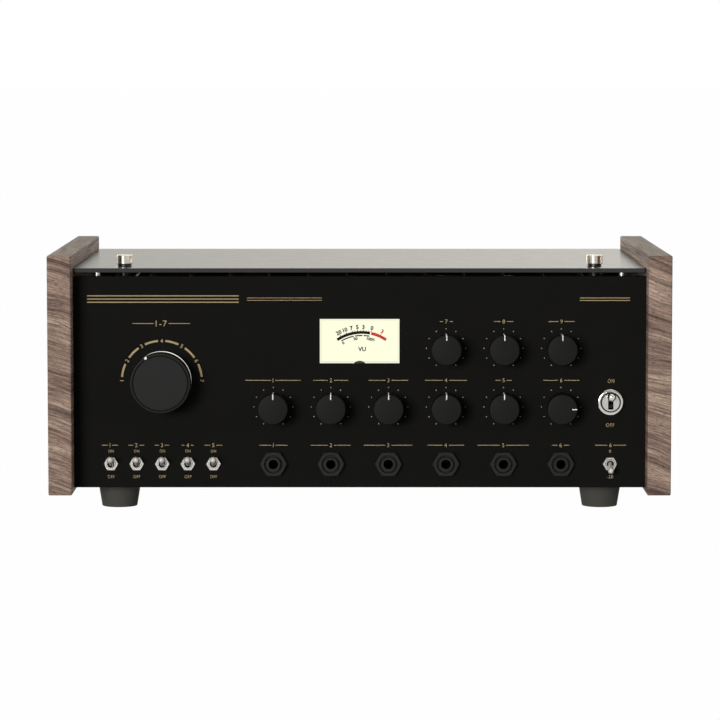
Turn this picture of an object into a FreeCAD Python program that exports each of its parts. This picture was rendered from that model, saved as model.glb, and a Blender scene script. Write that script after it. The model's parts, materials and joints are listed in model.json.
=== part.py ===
"""Tape echo unit: a parametric model of the case, the controls and the tape transport.

The origin is on the table, under the middle of the unit. X runs to the right, Y to the back
and Z up. Sizes are in millimetres and stand in the sheet "Sizes"; places that follow from
them stand in the variable set "Places". Every text that gives a size or a place below is an
expression in the names of those two.
"""
import FreeCAD, Part
import math
import os
import re

import Sketcher

Vector = FreeCAD.Vector
Rotation = FreeCAD.Rotation

# Turns that lay a piece's own Z axis along a direction of the unit.
UP = Rotation()
FRONT = Rotation(Vector(1, 0, 0), 90)
BACK = Rotation(Vector(1, 0, 0), -90)
LEFT = Rotation(Vector(0, 1, 0), -90)
RIGHT = Rotation(Vector(0, 1, 0), 90)
DOWN = Rotation(Vector(1, 0, 0), 180)

SIZES = {
    # Case
    "unit_width": (420, "across both cheeks"),
    "cheek_thick": (16, "side cheek, across the grain"),
    "cheek_depth": (255, "side cheek, front to back"),
    "cheek_height": (162, "side cheek, bottom to top"),
    "cheek_base": (12.5, "table to the cheek's lower edge"),
    "cheek_round": (1, "rounding of the cheek's edges"),
    "panel_recess": (17, "panel face behind the cheek's front"),
    "panel_thick": (2, "front panel sheet"),
    "panel_height": (143.5, "front panel, bottom to top"),
    "fold_depth": (7, "panel's folded top edge, front to back"),
    "fold_round": (0.8, "rounding of the panel's fold"),
    "foot_height": (16, "table to the chassis"),
    "sheet_thick": (1.5, "chassis, deck and rear panel sheet"),
    "rear_inset": (5, "rear panel in front of the cheek's rear edge"),
    "rail_lip": (12, "folded lips of the side rails"),
    "base_lip": (6, "folded front edge of the chassis base"),
    "deck_drop": (20.5, "deck's top under the panel's top"),
    "fit_gap": (0.2, "gap between parts that sit side by side"),
    "run_gap": (0.05, "radial gap of a shaft in its bore"),
    "pass_gap": (0.3, "gap between parts that move past each other"),
    "cut_past": (1, "how far a cut runs past a face"),
    # Cover and its fixings
    "cover_thick": (3, "cover plate"),
    "cover_lift": (2.5, "open gap between panel top and cover"),
    "cover_side_gap": (0.5, "cover to cheek, each side"),
    "cover_setback": (18.5, "cover's front edge behind the cheek's front"),
    "cover_tail": (0.5, "cover's rear edge in front of the cheek's rear"),
    "cover_round": (0.4, "rounding of the cover's edges"),
    "thumb_inset": (33.6, "thumbscrew from the cheek's inner face"),
    "thumb_setback": (43, "thumbscrew behind the cheek's front"),
    "thumb_head_radius": (5.5, "knurled head"),
    "thumb_head_height": (5.2, "knurled head"),
    "thumb_neck_radius": (4.65, "dark neck under the head"),
    "thumb_neck_height": (2.5, "dark neck under the head"),
    "thumb_reach": (9, "thread below the cover"),
    "post_radius": (4, "threaded post under a thumbscrew"),
    "post_bore_depth": (12, "thread depth of the post"),
    "standoff_radius": (2.5, "cover standoffs and spacers"),
    "standoff_inset": (16, "standoff from the cheek's inner face"),
    "standoff_setback": (27.5, "front standoff behind the cheek's front"),
    "standoff_tail": (24, "rear standoff in front of the cheek's rear"),
    # Feet
    "foot_top_radius": (14, "foot at the chassis"),
    "foot_base_radius": (11.5, "foot at the table"),
    "foot_round": (2, "rounded lower edge of a foot"),
    "foot_inset": (29.3, "foot from the cheek's inner face"),
    "foot_setback": (47, "foot from the cheek's front or rear"),
    "foot_pocket_radius": (4.6, "screw pocket in a foot"),
    "foot_pocket_depth": (7.5, "screw pocket in a foot"),
    # Machine screws
    "screw_radius": (2, "thread"),
    "screw_length": (10, "under the head"),
    "screw_head_radius": (3.5, "button head"),
    "screw_head_height": (2.4, "button head"),
    "screw_socket": (1.45, "hexagon socket, centre to corner"),
    "screw_socket_depth": (1.3, "hexagon socket"),
    "screw_play": (0.2, "radial play of a screw in a through hole"),
    "cheek_screw_height": (52, "cheek screws above the chassis"),
    "cheek_screw_pitch": (85, "between cheek screws"),
    "edge_screw_inset": (46, "outer deck screws from the rail's ends"),
    "rear_screw_height": (24, "lower rear screws above the chassis"),
    "rear_screw_pitch": (42, "between rear screws"),
    # Vents
    "vent_wide": (3, "vent slot"),
    "vent_tall": (34, "vent slot"),
    "vent_pitch": (8, "between vent slots"),
    "vent_inset": (99, "middle of the vent field from the left cheek's inner face"),
    "vent_height": (98, "middle of the vent field above the chassis"),
    # Control knobs
    "first_column_gap": (75.5, "mode knob to the first control column"),
    "last_column_gap": (33.5, "last control column to the power switch"),
    "lower_row": (54.9, "lower knob row above the chassis"),
    "upper_row": (94.8, "upper knob row above the chassis"),
    "knob_radius": (10, "control knob"),
    "knob_rise": (1, "gap between panel and knob"),
    "knob_height": (17, "control knob"),
    "knob_edge": (0.5, "edge break of a knob"),
    "knob_hollow_radius": (7, "hollow round the nut"),
    "knob_hollow_depth": (4.5, "hollow round the nut"),
    "knob_cap_thick": (2.5, "solid top over the shaft"),
    "pointer_wide": (0.9, "pointer line"),
    "pointer_long": (3.4, "pointer line"),
    "pointer_deep": (0.3, "pointer line"),
    "echo_pointer": (90, "echo volume pointer, degrees clockwise from up"),
    "shaft_radius": (3, "control shaft"),
    "shaft_tail": (5, "control shaft behind the panel's back"),
    "pot_radius": (8.5, "potentiometer can"),
    "pot_depth": (9, "potentiometer can"),
    "pot_bushing_radius": (3.5, "threaded bushing"),
    "pot_bushing_reach": (5, "bushing in front of the panel"),
    "pot_nut_flats": (10, "control nut across flats"),
    "nut_thick": (2, "control and toggle nuts"),
    "lug_wide": (2, "solder lug"),
    "lug_long": (7, "solder lug"),
    "lug_thick": (0.6, "solder lug"),
    "lug_pitch": (4.5, "between solder lugs"),
    # Mode knob
    "mode_inset": (60, "mode knob from the left cheek's inner face"),
    "mode_up": (72.8, "mode knob above the chassis"),
    "mode_radius": (20.2, "mode knob"),
    "mode_rise": (1, "gap between panel and knob"),
    "mode_height": (19, "mode knob"),
    "mode_groove_radius": (18.2, "face disc inside the groove"),
    "mode_groove_wide": (0.8, "groove round the face"),
    "mode_groove_deep": (1, "groove round the face"),
    "mode_hollow_radius": (12, "hollow round the nut"),
    "mode_hollow_depth": (7, "hollow round the nut"),
    "mode_mark_long": (2.4, "mark on the rim"),
    "mode_mark_wide": (2, "mark on the rim"),
    "mode_pointer": (-30, "mode mark, degrees clockwise from up"),
    "mode_switch_radius": (15, "rotary switch"),
    "mode_switch_depth": (18, "rotary switch"),
    "mode_bushing_radius": (4.5, "rotary switch bushing"),
    "mode_bushing_reach": (6, "bushing in front of the panel"),
    "mode_nut_flats": (13, "rotary switch nut across flats"),
    # Jacks
    "jack_row": (16.2, "jacks and small toggles above the chassis"),
    "jack_bore": (3.3, "bore for a 6.35 mm plug"),
    "jack_bushing_radius": (4.75, "jack bushing"),
    "jack_reach": (5, "bushing in front of the panel"),
    "jack_bore_depth": (26, "bore behind the panel face"),
    "jack_wide": (16, "jack housing"),
    "jack_tall": (17, "jack housing"),
    "jack_end_wall": (2, "jack housing behind the bore"),
    "jack_nut_flats": (16, "jack nut across flats"),
    "jack_nut_thick": (3, "jack nut"),
    "jack_washer_radius": (9.3, "washer under the jack nut"),
    "jack_washer_thick": (0.8, "washer under the jack nut"),
    # Small toggles
    "toggle_pitch": (17.4, "between the five small toggles"),
    "toggle_pivot": (1, "lever pivot in front of the panel face"),
    "lever_tilt": (23.5, "lever off its middle, degrees"),
    "lever_length": (9.1, "pivot to the tip's centre"),
    "lever_tip_radius": (2.05, "lever tip"),
    "lever_root_radius": (1.2, "lever at the pivot"),
    "lever_barrel_radius": (1.3, "pivot barrel"),
    "lever_barrel_wide": (1.6, "pivot barrel"),
    "toggle_bushing_radius": (3, "threaded bushing"),
    "toggle_reach": (2.8, "bushing in front of the panel"),
    "toggle_throat": (1.75, "bushing bore at the pivot"),
    "toggle_mouth": (2.5, "bushing bore at the mouth"),
    "toggle_wide": (8, "switch body"),
    "toggle_tall": (13, "switch body"),
    "toggle_deep": (9.5, "switch body"),
    "toggle_nut_flats": (8.5, "toggle nut across flats"),
    "right_inset": (24, "right column from the right cheek's inner face"),
    # Power switch
    "power_up": (58.3, "power switch above the chassis"),
    "dress_radius": (9.05, "dress ring"),
    "dress_thick": (3, "dress ring"),
    "dress_dome": (1.4, "rounded shoulder of the dress ring"),
    "power_bushing_radius": (5.9, "power switch bushing"),
    "power_reach": (4.5, "bushing in front of the panel"),
    "power_slot_wide": (3.6, "lever slot"),
    "power_slot_tall": (9.4, "lever slot"),
    "power_slot_depth": (8, "lever slot behind the panel face"),
    "power_pivot": (-1, "lever pivot in front of the panel face"),
    "power_tilt": (18, "lever off its middle, degrees"),
    "power_length": (14.5, "pivot to the tip's centre"),
    "power_tip_radius": (2.9, "lever tip"),
    "power_root_radius": (1.4, "lever at the pivot"),
    "power_barrel_radius": (1.7, "pivot barrel"),
    "power_barrel_wide": (3, "pivot barrel"),
    "power_wide": (18, "switch body"),
    "power_tall": (30, "switch body"),
    "power_deep": (22, "switch body"),
    # Meter
    "meter_across": (0, "meter's middle"),
    "meter_drop": (43.9, "meter's middle under the panel's top"),
    "window_wide": (54, "window opening"),
    "window_tall": (30.2, "window opening"),
    "hub_cover_radius": (5.2, "cover over the needle's hub"),
    "hub_cover_drop": (3.6, "middle of the hub cover under the window opening"),
    "window_set": (0.4, "glass behind the panel's face"),
    "window_thick": (1.5, "window glass"),
    "bezel_lap": (1, "case rim behind the window's edge"),
    "meter_wide": (60, "meter case"),
    "meter_above": (18.4, "meter case above its middle"),
    "meter_below": (28, "meter case below its middle"),
    "meter_deep": (30, "meter case"),
    "meter_wall": (1.6, "meter case wall"),
    "dial_set": (4.5, "dial face behind the window glass"),
    "dial_thick": (0.8, "dial plate"),
    "needle_pivot_across": (1.4, "needle pivot from the meter's middle"),
    "needle_pivot_drop": (24.2, "needle pivot under the meter's middle"),
    "needle_length": (27.6, "pivot to the needle's tip"),
    "needle_wide": (0.5, "needle"),
    "needle_thick": (0.4, "needle"),
    "needle_rest": (-76, "needle at rest, degrees clockwise from up"),
    "needle_hub_radius": (2, "needle hub"),
    "needle_pin_radius": (0.6, "needle pin"),
    "needle_pin_long": (4, "needle pin"),
    "movement_radius": (7.5, "meter movement"),
    "movement_deep": (12, "meter movement"),
    # Tape transport, on the deck
    "tape_back": (69, "tape run over the heads behind the panel face"),
    "tape_left_inset": (44, "left end of the tape run from the cheek's inner face"),
    "tape_right_inset": (34, "right end of the tape run from the cheek's inner face"),
    "tape_wide": (6.35, "tape"),
    "tape_thick": (0.2, "tape"),
    "tape_rise": (6.5, "tape's lower edge above the deck"),
    "tape_folds": (11, "folds of tape in the bin, an odd number"),
    "fold_room": (20, "shortest fold to the bin's front wall"),
    "fold_ripple": (11, "how much the folds differ in length"),
    "fold_flat": (2, "flat stretch at the end of a fold"),
    "guide_radius": (6, "corner guides"),
    "side_guide_radius": (3, "guides beside the heads"),
    "guide_flange": (1.2, "guide flange over the guide's radius"),
    "guide_flange_thick": (1, "guide flange"),
    "guide_height": (15, "guides"),
    "side_guide_reach": (21, "side guides beyond the outer heads"),
    "bin_wall": (1.5, "bin wall"),
    "bin_height": (13, "bin wall"),
    "bin_front_back": (101, "bin's front wall behind the panel face"),
    "bin_rear_gap": (4.5, "bin's rear wall to the rear panel"),
    "bin_side": (8, "outer tape legs to the bin's side walls"),
    "bridge_thick": (3, "head bridge"),
    "bridge_deep": (31, "head bridge, front to back"),
    "bridge_margin": (14, "head bridge beyond the outer heads"),
    "bridge_back": (3, "head bridge's rear edge behind the heads' faces, to the front"),
    "bridge_screw_edge": (5, "bridge screws from the bridge's front edge"),
    "first_head_gap": (46, "left end of the tape run to the first head"),
    "last_head_gap": (48, "last head to the capstan"),
    "head_wide": (11, "head"),
    "head_deep": (17, "head"),
    "head_tall": (13, "head"),
    "capstan_gap": (56, "capstan to the right end of the tape run"),
    "capstan_radius": (3, "capstan shaft"),
    "capstan_rise": (17, "capstan above the deck"),
    "capstan_tail": (4, "capstan below the flywheel"),
    "flywheel_radius": (30, "flywheel"),
    "flywheel_thick": (8, "flywheel"),
    "flywheel_drop": (17, "flywheel's top under the deck's top"),
    "bearing_radius": (7, "bearing sleeve"),
    "bearing_flange": (11, "bearing flange radius"),
    "bearing_flange_thick": (2, "bearing flange"),
    "bearing_drop": (14, "bearing's lower end under the deck's top"),
    "roller_radius": (8, "pinch roller"),
    "roller_tall": (10, "pinch roller"),
    "roller_axle": (2, "pinch roller axle"),
    "arm_length": (32, "pinch arm, pivot to roller"),
    "arm_half": (5, "half the pinch arm's width"),
    "arm_thick": (2.5, "pinch arm"),
    "arm_rise": (2.2, "pinch arm above the deck"),
    "arm_pin_radius": (2.5, "pinch arm's pivot pin"),
    "arm_pin_tail": (5, "pivot pin below the deck's top"),
    # Drive, under the deck
    "motor_back": (119, "motor behind the panel face"),
    "motor_gap": (44, "motor to the left of the capstan"),
    "motor_radius": (18, "motor"),
    "motor_tall": (38, "motor"),
    "motor_shaft_radius": (1.5, "motor shaft"),
    "motor_shaft_seat": (14, "motor shaft inside the motor"),
    "bracket_thick": (2, "motor bracket"),
    "bracket_half": (25, "half the motor bracket's width"),
    "bracket_hole": (6, "hole round the motor shaft"),
    "bracket_drop": (29, "motor bracket's top under the deck's top"),
    "bracket_post": (21, "bracket spacers from the motor's axis"),
    "pulley_radius": (6, "motor pulley"),
    "pulley_flange": (8, "motor pulley flanges"),
    "pulley_flange_thick": (1, "motor pulley flanges"),
    "pulley_tall": (11, "motor pulley"),
    "belt_wide": (6, "drive belt"),
    "belt_thick": (1, "drive belt"),
    # Electronics, on the chassis base
    "board_back": (34, "main board's front edge behind the panel face"),
    "board_margin": (44, "main board from the left cheek's inner face"),
    "board_wide": (210, "main board"),
    "board_gap": (9.5, "main board to the reverb tank"),
    "board_thick": (1.6, "main board"),
    "board_rise": (8, "main board above the chassis base"),
    "board_inset": (8, "board spacers from the board's edges"),
    "capacitor_radius": (8, "main capacitors"),
    "capacitor_tall": (25, "main capacitors"),
    "chip_wide": (8, "circuit packages"),
    "chip_long": (20, "circuit packages"),
    "chip_tall": (4, "circuit packages"),
    "relay_wide": (12, "relays"),
    "relay_long": (18, "relays"),
    "relay_tall": (12, "relays"),
    "transformer_inset": (64, "transformer's middle from the right cheek's inner face"),
    "transformer_back": (75.5, "transformer's middle in front of the rear panel"),
    "core_wide": (70, "transformer core"),
    "core_deep": (30, "transformer core"),
    "core_tall": (48, "transformer core"),
    "coil_wide": (46, "transformer coil"),
    "coil_deep": (54, "transformer coil"),
    "coil_tall": (32, "transformer coil"),
    "tank_inset": (24, "reverb tank from the left cheek's inner face"),
    "tank_gap": (30, "reverb tank to the transformer"),
    "tank_deep": (85, "reverb tank"),
    "tank_tall": (30, "reverb tank"),
    "tank_wall": (1, "reverb tank sheet"),
    "tank_rear_gap": (3, "reverb tank to the rear panel"),
    "spring_radius": (2.5, "reverb springs, as plain rods"),
    "spring_pitch": (22, "between reverb springs"),
    "transducer_wide": (14, "blocks that hold the springs' ends"),
    # Mains inlet
    "inlet_inset": (64, "mains inlet from the right cheek's inner face"),
    "inlet_up": (46, "mains inlet above the chassis"),
    "inlet_flange_wide": (50, "inlet flange"),
    "inlet_flange_tall": (46, "inlet flange"),
    "inlet_flange_thick": (2.5, "inlet flange"),
    "inlet_wide": (27.4, "inlet body"),
    "inlet_tall": (40, "inlet body"),
    "inlet_deep": (24, "inlet body inside the rear panel"),
    "inlet_screw": (20, "inlet screws from its middle"),
    "inlet_mouth_wide": (24, "mouth for the mains connector"),
    "inlet_mouth_tall": (16.4, "mouth for the mains connector"),
    "inlet_mouth_deep": (18, "mouth for the mains connector"),
    "inlet_mouth_shift": (8, "mouth above the inlet's middle"),
    "inlet_pin_wide": (2, "contact blades"),
    "inlet_pin_tall": (4, "contact blades"),
    "inlet_pin_long": (12.5, "contact blades"),
    "inlet_pin_pitch": (7, "outer blades from the middle blade"),
    "drawer_wide": (22, "fuse drawer"),
    "drawer_tall": (9, "fuse drawer"),
    "drawer_proud": (1.5, "fuse drawer in front of the flange"),
    "drawer_shift": (-12, "fuse drawer under the inlet's middle"),
}

# Places that follow from the sizes.
PLACES = {
    "half_inside": "unit_width / 2 - cheek_thick",
    "side_edge": "unit_width / 2 - cheek_thick - fit_gap",
    "overhang": "mode_rise + mode_height - panel_recess",
    "cheek_front": "(overhang - cheek_depth) / 2",
    "cheek_rear": "(overhang + cheek_depth) / 2",
    "panel_face": "cheek_front + panel_recess",
    "panel_back": "panel_face + panel_thick",
    "rear_face": "cheek_rear - rear_inset",
    "rear_inner": "rear_face - sheet_thick",
    "base_top": "foot_height + sheet_thick",
    "panel_top": "foot_height + panel_height",
    "deck_top": "panel_top - deck_drop",
    "deck_low": "deck_top - sheet_thick",
    "cover_low": "panel_top + cover_lift",
    "cover_top": "cover_low + cover_thick",
    "thumb_across": "half_inside - thumb_inset",
    "thumb_y": "cheek_front + thumb_setback",
    "standoff_across": "half_inside - standoff_inset",
    "standoff_front": "cheek_front + standoff_setback",
    "standoff_rear": "cheek_rear - standoff_tail",
    "foot_across": "half_inside - foot_inset",
    "foot_front": "cheek_front + foot_setback",
    "foot_rear": "cheek_rear - foot_setback",
    "lip_across": "side_edge - rail_lip / 2",
    "vent_across": "vent_inset - half_inside",
    "mode_across": "mode_inset - half_inside",
    "right_across": "half_inside - right_inset",
    "first_column": "mode_across + first_column_gap",
    "column_pitch": "(right_across - last_column_gap - first_column) / 5",
    "meter_up": "panel_height - meter_drop",
    "tape_left": "tape_left_inset - half_inside",
    "tape_right": "half_inside - tape_right_inset",
    "tape_y": "panel_face + tape_back",
    "tape_low": "deck_top + tape_rise",
    "tape_play": "pass_gap + tape_thick / 2",
    "corner_radius": "guide_radius + tape_play",
    "capstan_across": "tape_right - capstan_gap",
    "first_head": "tape_left + first_head_gap",
    "last_head": "capstan_across - last_head_gap",
    "head_pitch": "(last_head - first_head) / 4",
    "head_face": "tape_y - tape_play",
    "bridge_rear": "head_face - bridge_back",
    "bridge_front": "bridge_rear - bridge_deep",
    "capstan_y": "tape_y - tape_play - capstan_radius",
    "roller_y": "tape_y + tape_play + roller_radius",
    "arm_across": "capstan_across + arm_length",
    "flywheel_top": "deck_top - flywheel_drop",
    "drive_level": "flywheel_top - flywheel_thick / 2",
    "motor_across": "capstan_across - motor_gap",
    "motor_y": "panel_face + motor_back",
    "bracket_top": "deck_top - bracket_drop",
    "bin_front": "panel_face + bin_front_back",
    "bin_rear": "rear_inner - bin_rear_gap",
    "bin_left": "tape_left - bin_side",
    "bin_right": "tape_right + bin_side",
    "board_front": "panel_face + board_back",
    "board_left": "board_margin - half_inside",
    "board_right": "board_left + board_wide",
    "board_low": "base_top + board_rise",
    "board_top": "board_low + board_thick",
    "transformer_across": "half_inside - transformer_inset",
    "transformer_y": "rear_inner - transformer_back",
    "tank_left": "tank_inset - half_inside",
    "tank_right": "transformer_across - core_wide / 2 - tank_gap",
    "tank_rear": "rear_inner - tank_rear_gap",
    "tank_front": "tank_rear - tank_deep",
    "board_rear": "tank_front - board_gap",
    "inlet_across": "half_inside - inlet_inset",
    "dial_face": "-(window_set + window_thick + dial_set)",
    "dial_back": "dial_face - dial_thick",
}

# The six control columns, and the knobs that stand in them.
LOWER_KNOBS = ["guitar_volume", "chorus_rate", "chorus_depth", "reverb_volume", "speed", "echo_volume"]
UPPER_KNOBS = ["bass", "treble", "feedback"]
SMALL_TOGGLES = ["direct", "motor", "sound_on_sound", "echo", "chorus"]
HEAD_COUNT = 5
VENT_COUNT = 15

doc = FreeCAD.newDocument("tape_echo")
nodes = []


def named(expression):
    """Write the full names of the sizes and places that an expression uses."""
    def full(match):
        word = match.group(0)
        if word in SIZES:
            return "Sizes." + word
        if word in PLACES:
            return "Places." + word
        return word
    return re.sub(r"[a-z][a-z_]+", full, expression)


def make_sheet():
    """Fill the sheet of sizes, one per row: name, number and what it is."""
    sheet = doc.addObject("Spreadsheet::Sheet", "Sizes")
    for row, (name, (number, remark)) in enumerate(SIZES.items(), start=1):
        sheet.set(f"A{row}", name)
        sheet.set(f"B{row}", str(number))
        sheet.set(f"C{row}", remark)
        sheet.setAlias(f"B{row}", name)
    return sheet


def make_places():
    """Bind the places to the sheet."""
    places = doc.addObject("App::VarSet", "Places")
    for name in PLACES:
        places.addProperty("App::PropertyFloat", name, "Places", "")
    for name, expression in PLACES.items():
        places.setExpression(name, named(expression))


sheet = make_sheet()
doc.recompute()
make_places()
doc.recompute()


def value(expression):
    """The number that an expression gives now."""
    return float(sheet.evalExpression(named(expression)))


# ---------------------------------------------------------------- plain solids and booleans

def new(kind, label):
    """A new object of the document."""
    thing = doc.addObject(kind, label)
    thing.Label = label
    return thing


def bind(thing, **sizes):
    """Bind properties to expressions."""
    for name, expression in sizes.items():
        thing.setExpression(name, named(expression))
    return thing


def put(thing, x="0", y="0", z="0", turn=UP):
    """Place an object, its own axes turned and its origin at x, y, z."""
    thing.Placement = FreeCAD.Placement(Vector(), turn)
    for axis, expression in zip("xyz", (x, y, z)):
        if expression != "0":
            thing.setExpression("Placement.Base." + axis, named(expression))
    return thing


def slab(label, x, y, z):
    """A block between two limits along each axis."""
    thing = new("Part::Box", label)
    for side, (low, high) in zip(("Length", "Width", "Height"), (x, y, z)):
        thing.setExpression(side, named(f"({high}) - ({low})"))
    return put(thing, x[0], y[0], z[0])


def centred(label, size, z, x="0", y="0"):
    """A block centred on x and y, of a width and depth, between two heights."""
    wide, deep = size
    return slab(
        label,
        (f"{x} - ({wide}) / 2", f"{x} + ({wide}) / 2"),
        (f"{y} - ({deep}) / 2", f"{y} + ({deep}) / 2"),
        z,
    )


def rod(label, radius, low, high, x="0", y="0"):
    """A cylinder between two heights."""
    thing = new("Part::Cylinder", label)
    bind(thing, Radius=radius, Height=f"({high}) - ({low})")
    return put(thing, x, y, low)


def taper(label, low_radius, high_radius, low, high):
    """A cone on the axis between two heights."""
    thing = new("Part::Cone", label)
    bind(thing, Radius1=low_radius, Radius2=high_radius, Height=f"({high}) - ({low})")
    return put(thing, z=low)


def ball(label, radius, z="0"):
    """A sphere on the axis."""
    return put(bind(new("Part::Sphere", label), Radius=radius), z=z)


def hexagon(label, corner_radius, low, high):
    """A six sided prism on the axis, two of its corners on the X axis."""
    thing = new("Part::Prism", label)
    thing.Polygon = 6
    bind(thing, Circumradius=corner_radius, Height=f"({high}) - ({low})")
    return put(thing, z=low)


def joined(label, *things):
    """One solid out of several."""
    thing = new("Part::MultiFuse", label)
    thing.Shapes = list(things)
    return thing


def less(label, base, *tools):
    """A solid with others cut out of it."""
    thing = new("Part::Cut", label)
    thing.Base = base
    thing.Tool = tools[0] if len(tools) == 1 else joined(label + "_tools", *tools)
    return thing


def group(label, *things):
    """Separate solids held together as one piece of the list."""
    thing = new("Part::Compound", label)
    thing.Links = list(things)
    return thing


def node(thing):
    """Keep an object as a sub-part; its label names its file."""
    nodes.append(thing)
    return thing


# ---------------------------------------------------------------- bodies, sketches, features

def new_body(label):
    """A new body."""
    return new("PartDesign::Body", label)


def origin_part(body, role):
    """A plane or an axis of a body's origin."""
    return [part for part in body.Origin.OriginFeatures if part.Role == role][0]


def new_sketch(body, name, plane="XY_Plane", offset="0"):
    """A sketch on a plane of its body, lifted off it by an offset."""
    sketch = body.newObject("Sketcher::SketchObject", body.Label + "_" + name)
    sketch.AttachmentSupport = [(origin_part(body, plane), "")]
    sketch.MapMode = "FlatFace"
    if offset != "0":
        sketch.setExpression("AttachmentOffset.Base.z", named(offset))
    return sketch


def fix_point(sketch, geometry, corner, x, y):
    """Tie one point of a sketch to its place."""
    for kind, axis, expression in (("DistanceX", -2, x), ("DistanceY", -1, y)):
        if expression == "0":
            sketch.addConstraint(Sketcher.Constraint("PointOnObject", geometry, corner, axis))
            continue
        tie = Sketcher.Constraint(kind, -1, 1, geometry, corner, value(expression))
        index = sketch.addConstraint(tie)
        sketch.setExpression(f"Constraints[{index}]", named(expression))


def outline(sketch, points):
    """A closed outline of straight lines through points given as pairs of expressions."""
    first = sketch.GeometryCount
    corners = [Vector(value(x), value(y), 0) for x, y in points]
    count = len(corners)
    for index in range(count):
        sketch.addGeometry(Part.LineSegment(corners[index], corners[(index + 1) % count]))
    for index in range(count):
        follower = first + (index + 1) % count
        sketch.addConstraint(Sketcher.Constraint("Coincident", first + index, 2, follower, 1))
    for index, (x, y) in enumerate(points):
        fix_point(sketch, first + index, 1, x, y)


def rectangle(sketch, x, y):
    """A rectangle between two limits along each axis of a sketch."""
    outline(sketch, [(x[0], y[0]), (x[1], y[0]), (x[1], y[1]), (x[0], y[1])])


def circle(sketch, radius, x="0", y="0"):
    """A circle in a sketch."""
    centre = Vector(value(x), value(y), 0)
    index = sketch.addGeometry(Part.Circle(centre, Vector(0, 0, 1), value(radius)))
    fix_point(sketch, index, 3, x, y)
    tie = sketch.addConstraint(Sketcher.Constraint("Radius", index, value(radius)))
    sketch.setExpression(f"Constraints[{tie}]", named(radius))


def pad(body, sketch, length, reverse=False):
    """Grow a sketch into a solid, along its normal or against it."""
    feature = body.newObject("PartDesign::Pad", sketch.Label + "_pad")
    feature.Profile = sketch
    feature.Reversed = reverse
    return bind(feature, Length=length)


def pocket(body, sketch, depth=None, reverse=False):
    """Cut a sketch into the solid, through it all where no depth is given."""
    feature = body.newObject("PartDesign::Pocket", sketch.Label + "_pocket")
    feature.Profile = sketch
    feature.Reversed = reverse
    if depth is None:
        feature.Type = "ThroughAll"
        return feature
    return bind(feature, Length=depth)


def round_all(body, radius):
    """Round every edge of the body made so far."""
    doc.recompute()
    base = body.Tip
    feature = body.newObject("PartDesign::Fillet", body.Label + "_round")
    feature.Base = (base, ["Edge1"])
    feature.UseAllEdges = True
    return bind(feature, Radius=radius)


def round_edges(body, radius, chosen):
    """Round those edges of the body made so far whose middle passes a test."""
    doc.recompute()
    base = body.Tip
    names = []
    for index, edge in enumerate(base.Shape.Edges, start=1):
        if chosen(edge.CenterOfMass):
            names.append(f"Edge{index}")
    feature = body.newObject("PartDesign::Fillet", body.Label + "_edge_round")
    feature.Base = (base, names)
    return bind(feature, Radius=radius)


def turned(label, profile):
    """A body turned about its own Z axis from an outline of radius and height."""
    body = new_body(label)
    sketch = new_sketch(body, "profile", "XZ_Plane")
    outline(sketch, profile)
    feature = body.newObject("PartDesign::Revolution", label + "_turn")
    feature.Profile = sketch
    feature.ReferenceAxis = (origin_part(body, "Z_Axis"), [""])
    feature.Angle = 360
    return body


def spin(thing, angle, axis=Vector(0, 0, 1)):
    """Turn an object about one of its own axes by an angle in degrees."""
    thing.Placement = FreeCAD.Placement(Vector(), Rotation(axis, 1))
    thing.setExpression("Placement.Rotation.Angle", named(angle))
    return thing


def bar(label, radius, length, x, y, z, turn):
    """A cylinder that starts at a point and runs along a turned Z axis."""
    thing = bind(new("Part::Cylinder", label), Radius=radius, Height=length)
    return put(thing, x, y, z, turn)


def both_sides(near, far):
    """The limits of one stretch across, on the left and on the right of the middle."""
    return {"left": (f"-({far})", f"-({near})"), "right": (near, far)}


# ---------------------------------------------------------------- machine screws

screws = []


def screw(x, y, z, turn):
    """A machine screw seated at a point, its head along the turned Z axis."""
    label = f"screw_{len(screws)}"
    head = rod(label + "_head", "screw_head_radius", "0", "screw_head_height")
    thread = rod(label + "_thread", "screw_radius", "-screw_length", "0")
    socket = hexagon(
        label + "_socket", "screw_socket", "screw_head_height - screw_socket_depth", "screw_head_height"
    )
    screws.append(put(less(label, joined(label + "_solid", head, thread), socket), x, y, z, turn))


SCREW_HOLE = "screw_radius + screw_play"
CHEEK_SCREWS = [f"{step} * cheek_screw_pitch" for step in (-1, 0, 1)]
CHEEK_SCREW_Z = "foot_height + cheek_screw_height"
DECK_SCREWS = [
    "panel_back + edge_screw_inset",
    "(panel_back + rear_inner) / 2",
    "rear_inner - edge_screw_inset",
]
REAR_SCREWS = [f"foot_height + rear_screw_height + {step} * rear_screw_pitch" for step in (0, 1, 2)]
FOOT_PLACES = [(x, y) for x in ("-foot_across", "foot_across") for y in ("foot_front", "foot_rear")]


# ---------------------------------------------------------------- case

def make_cheek(side):
    """A walnut side cheek with pilot holes for its screws in the inner face."""
    body = new_body(side + "_cheek")
    face = new_sketch(body, "face", "YZ_Plane")
    rectangle(face, ("cheek_front", "cheek_rear"), ("cheek_base", "cheek_base + cheek_height"))
    pad(body, face, "cheek_thick")
    round_all(body, "cheek_round")
    inner = "cheek_thick" if side == "left" else "0"
    holes = new_sketch(body, "pilots", "YZ_Plane", inner)
    for along in CHEEK_SCREWS:
        circle(holes, "screw_radius", along, CHEEK_SCREW_Z)
    pocket(body, holes, "screw_length - sheet_thick", reverse=side == "right")
    put(body, x="-unit_width / 2" if side == "left" else "half_inside")
    return node(body)


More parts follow.
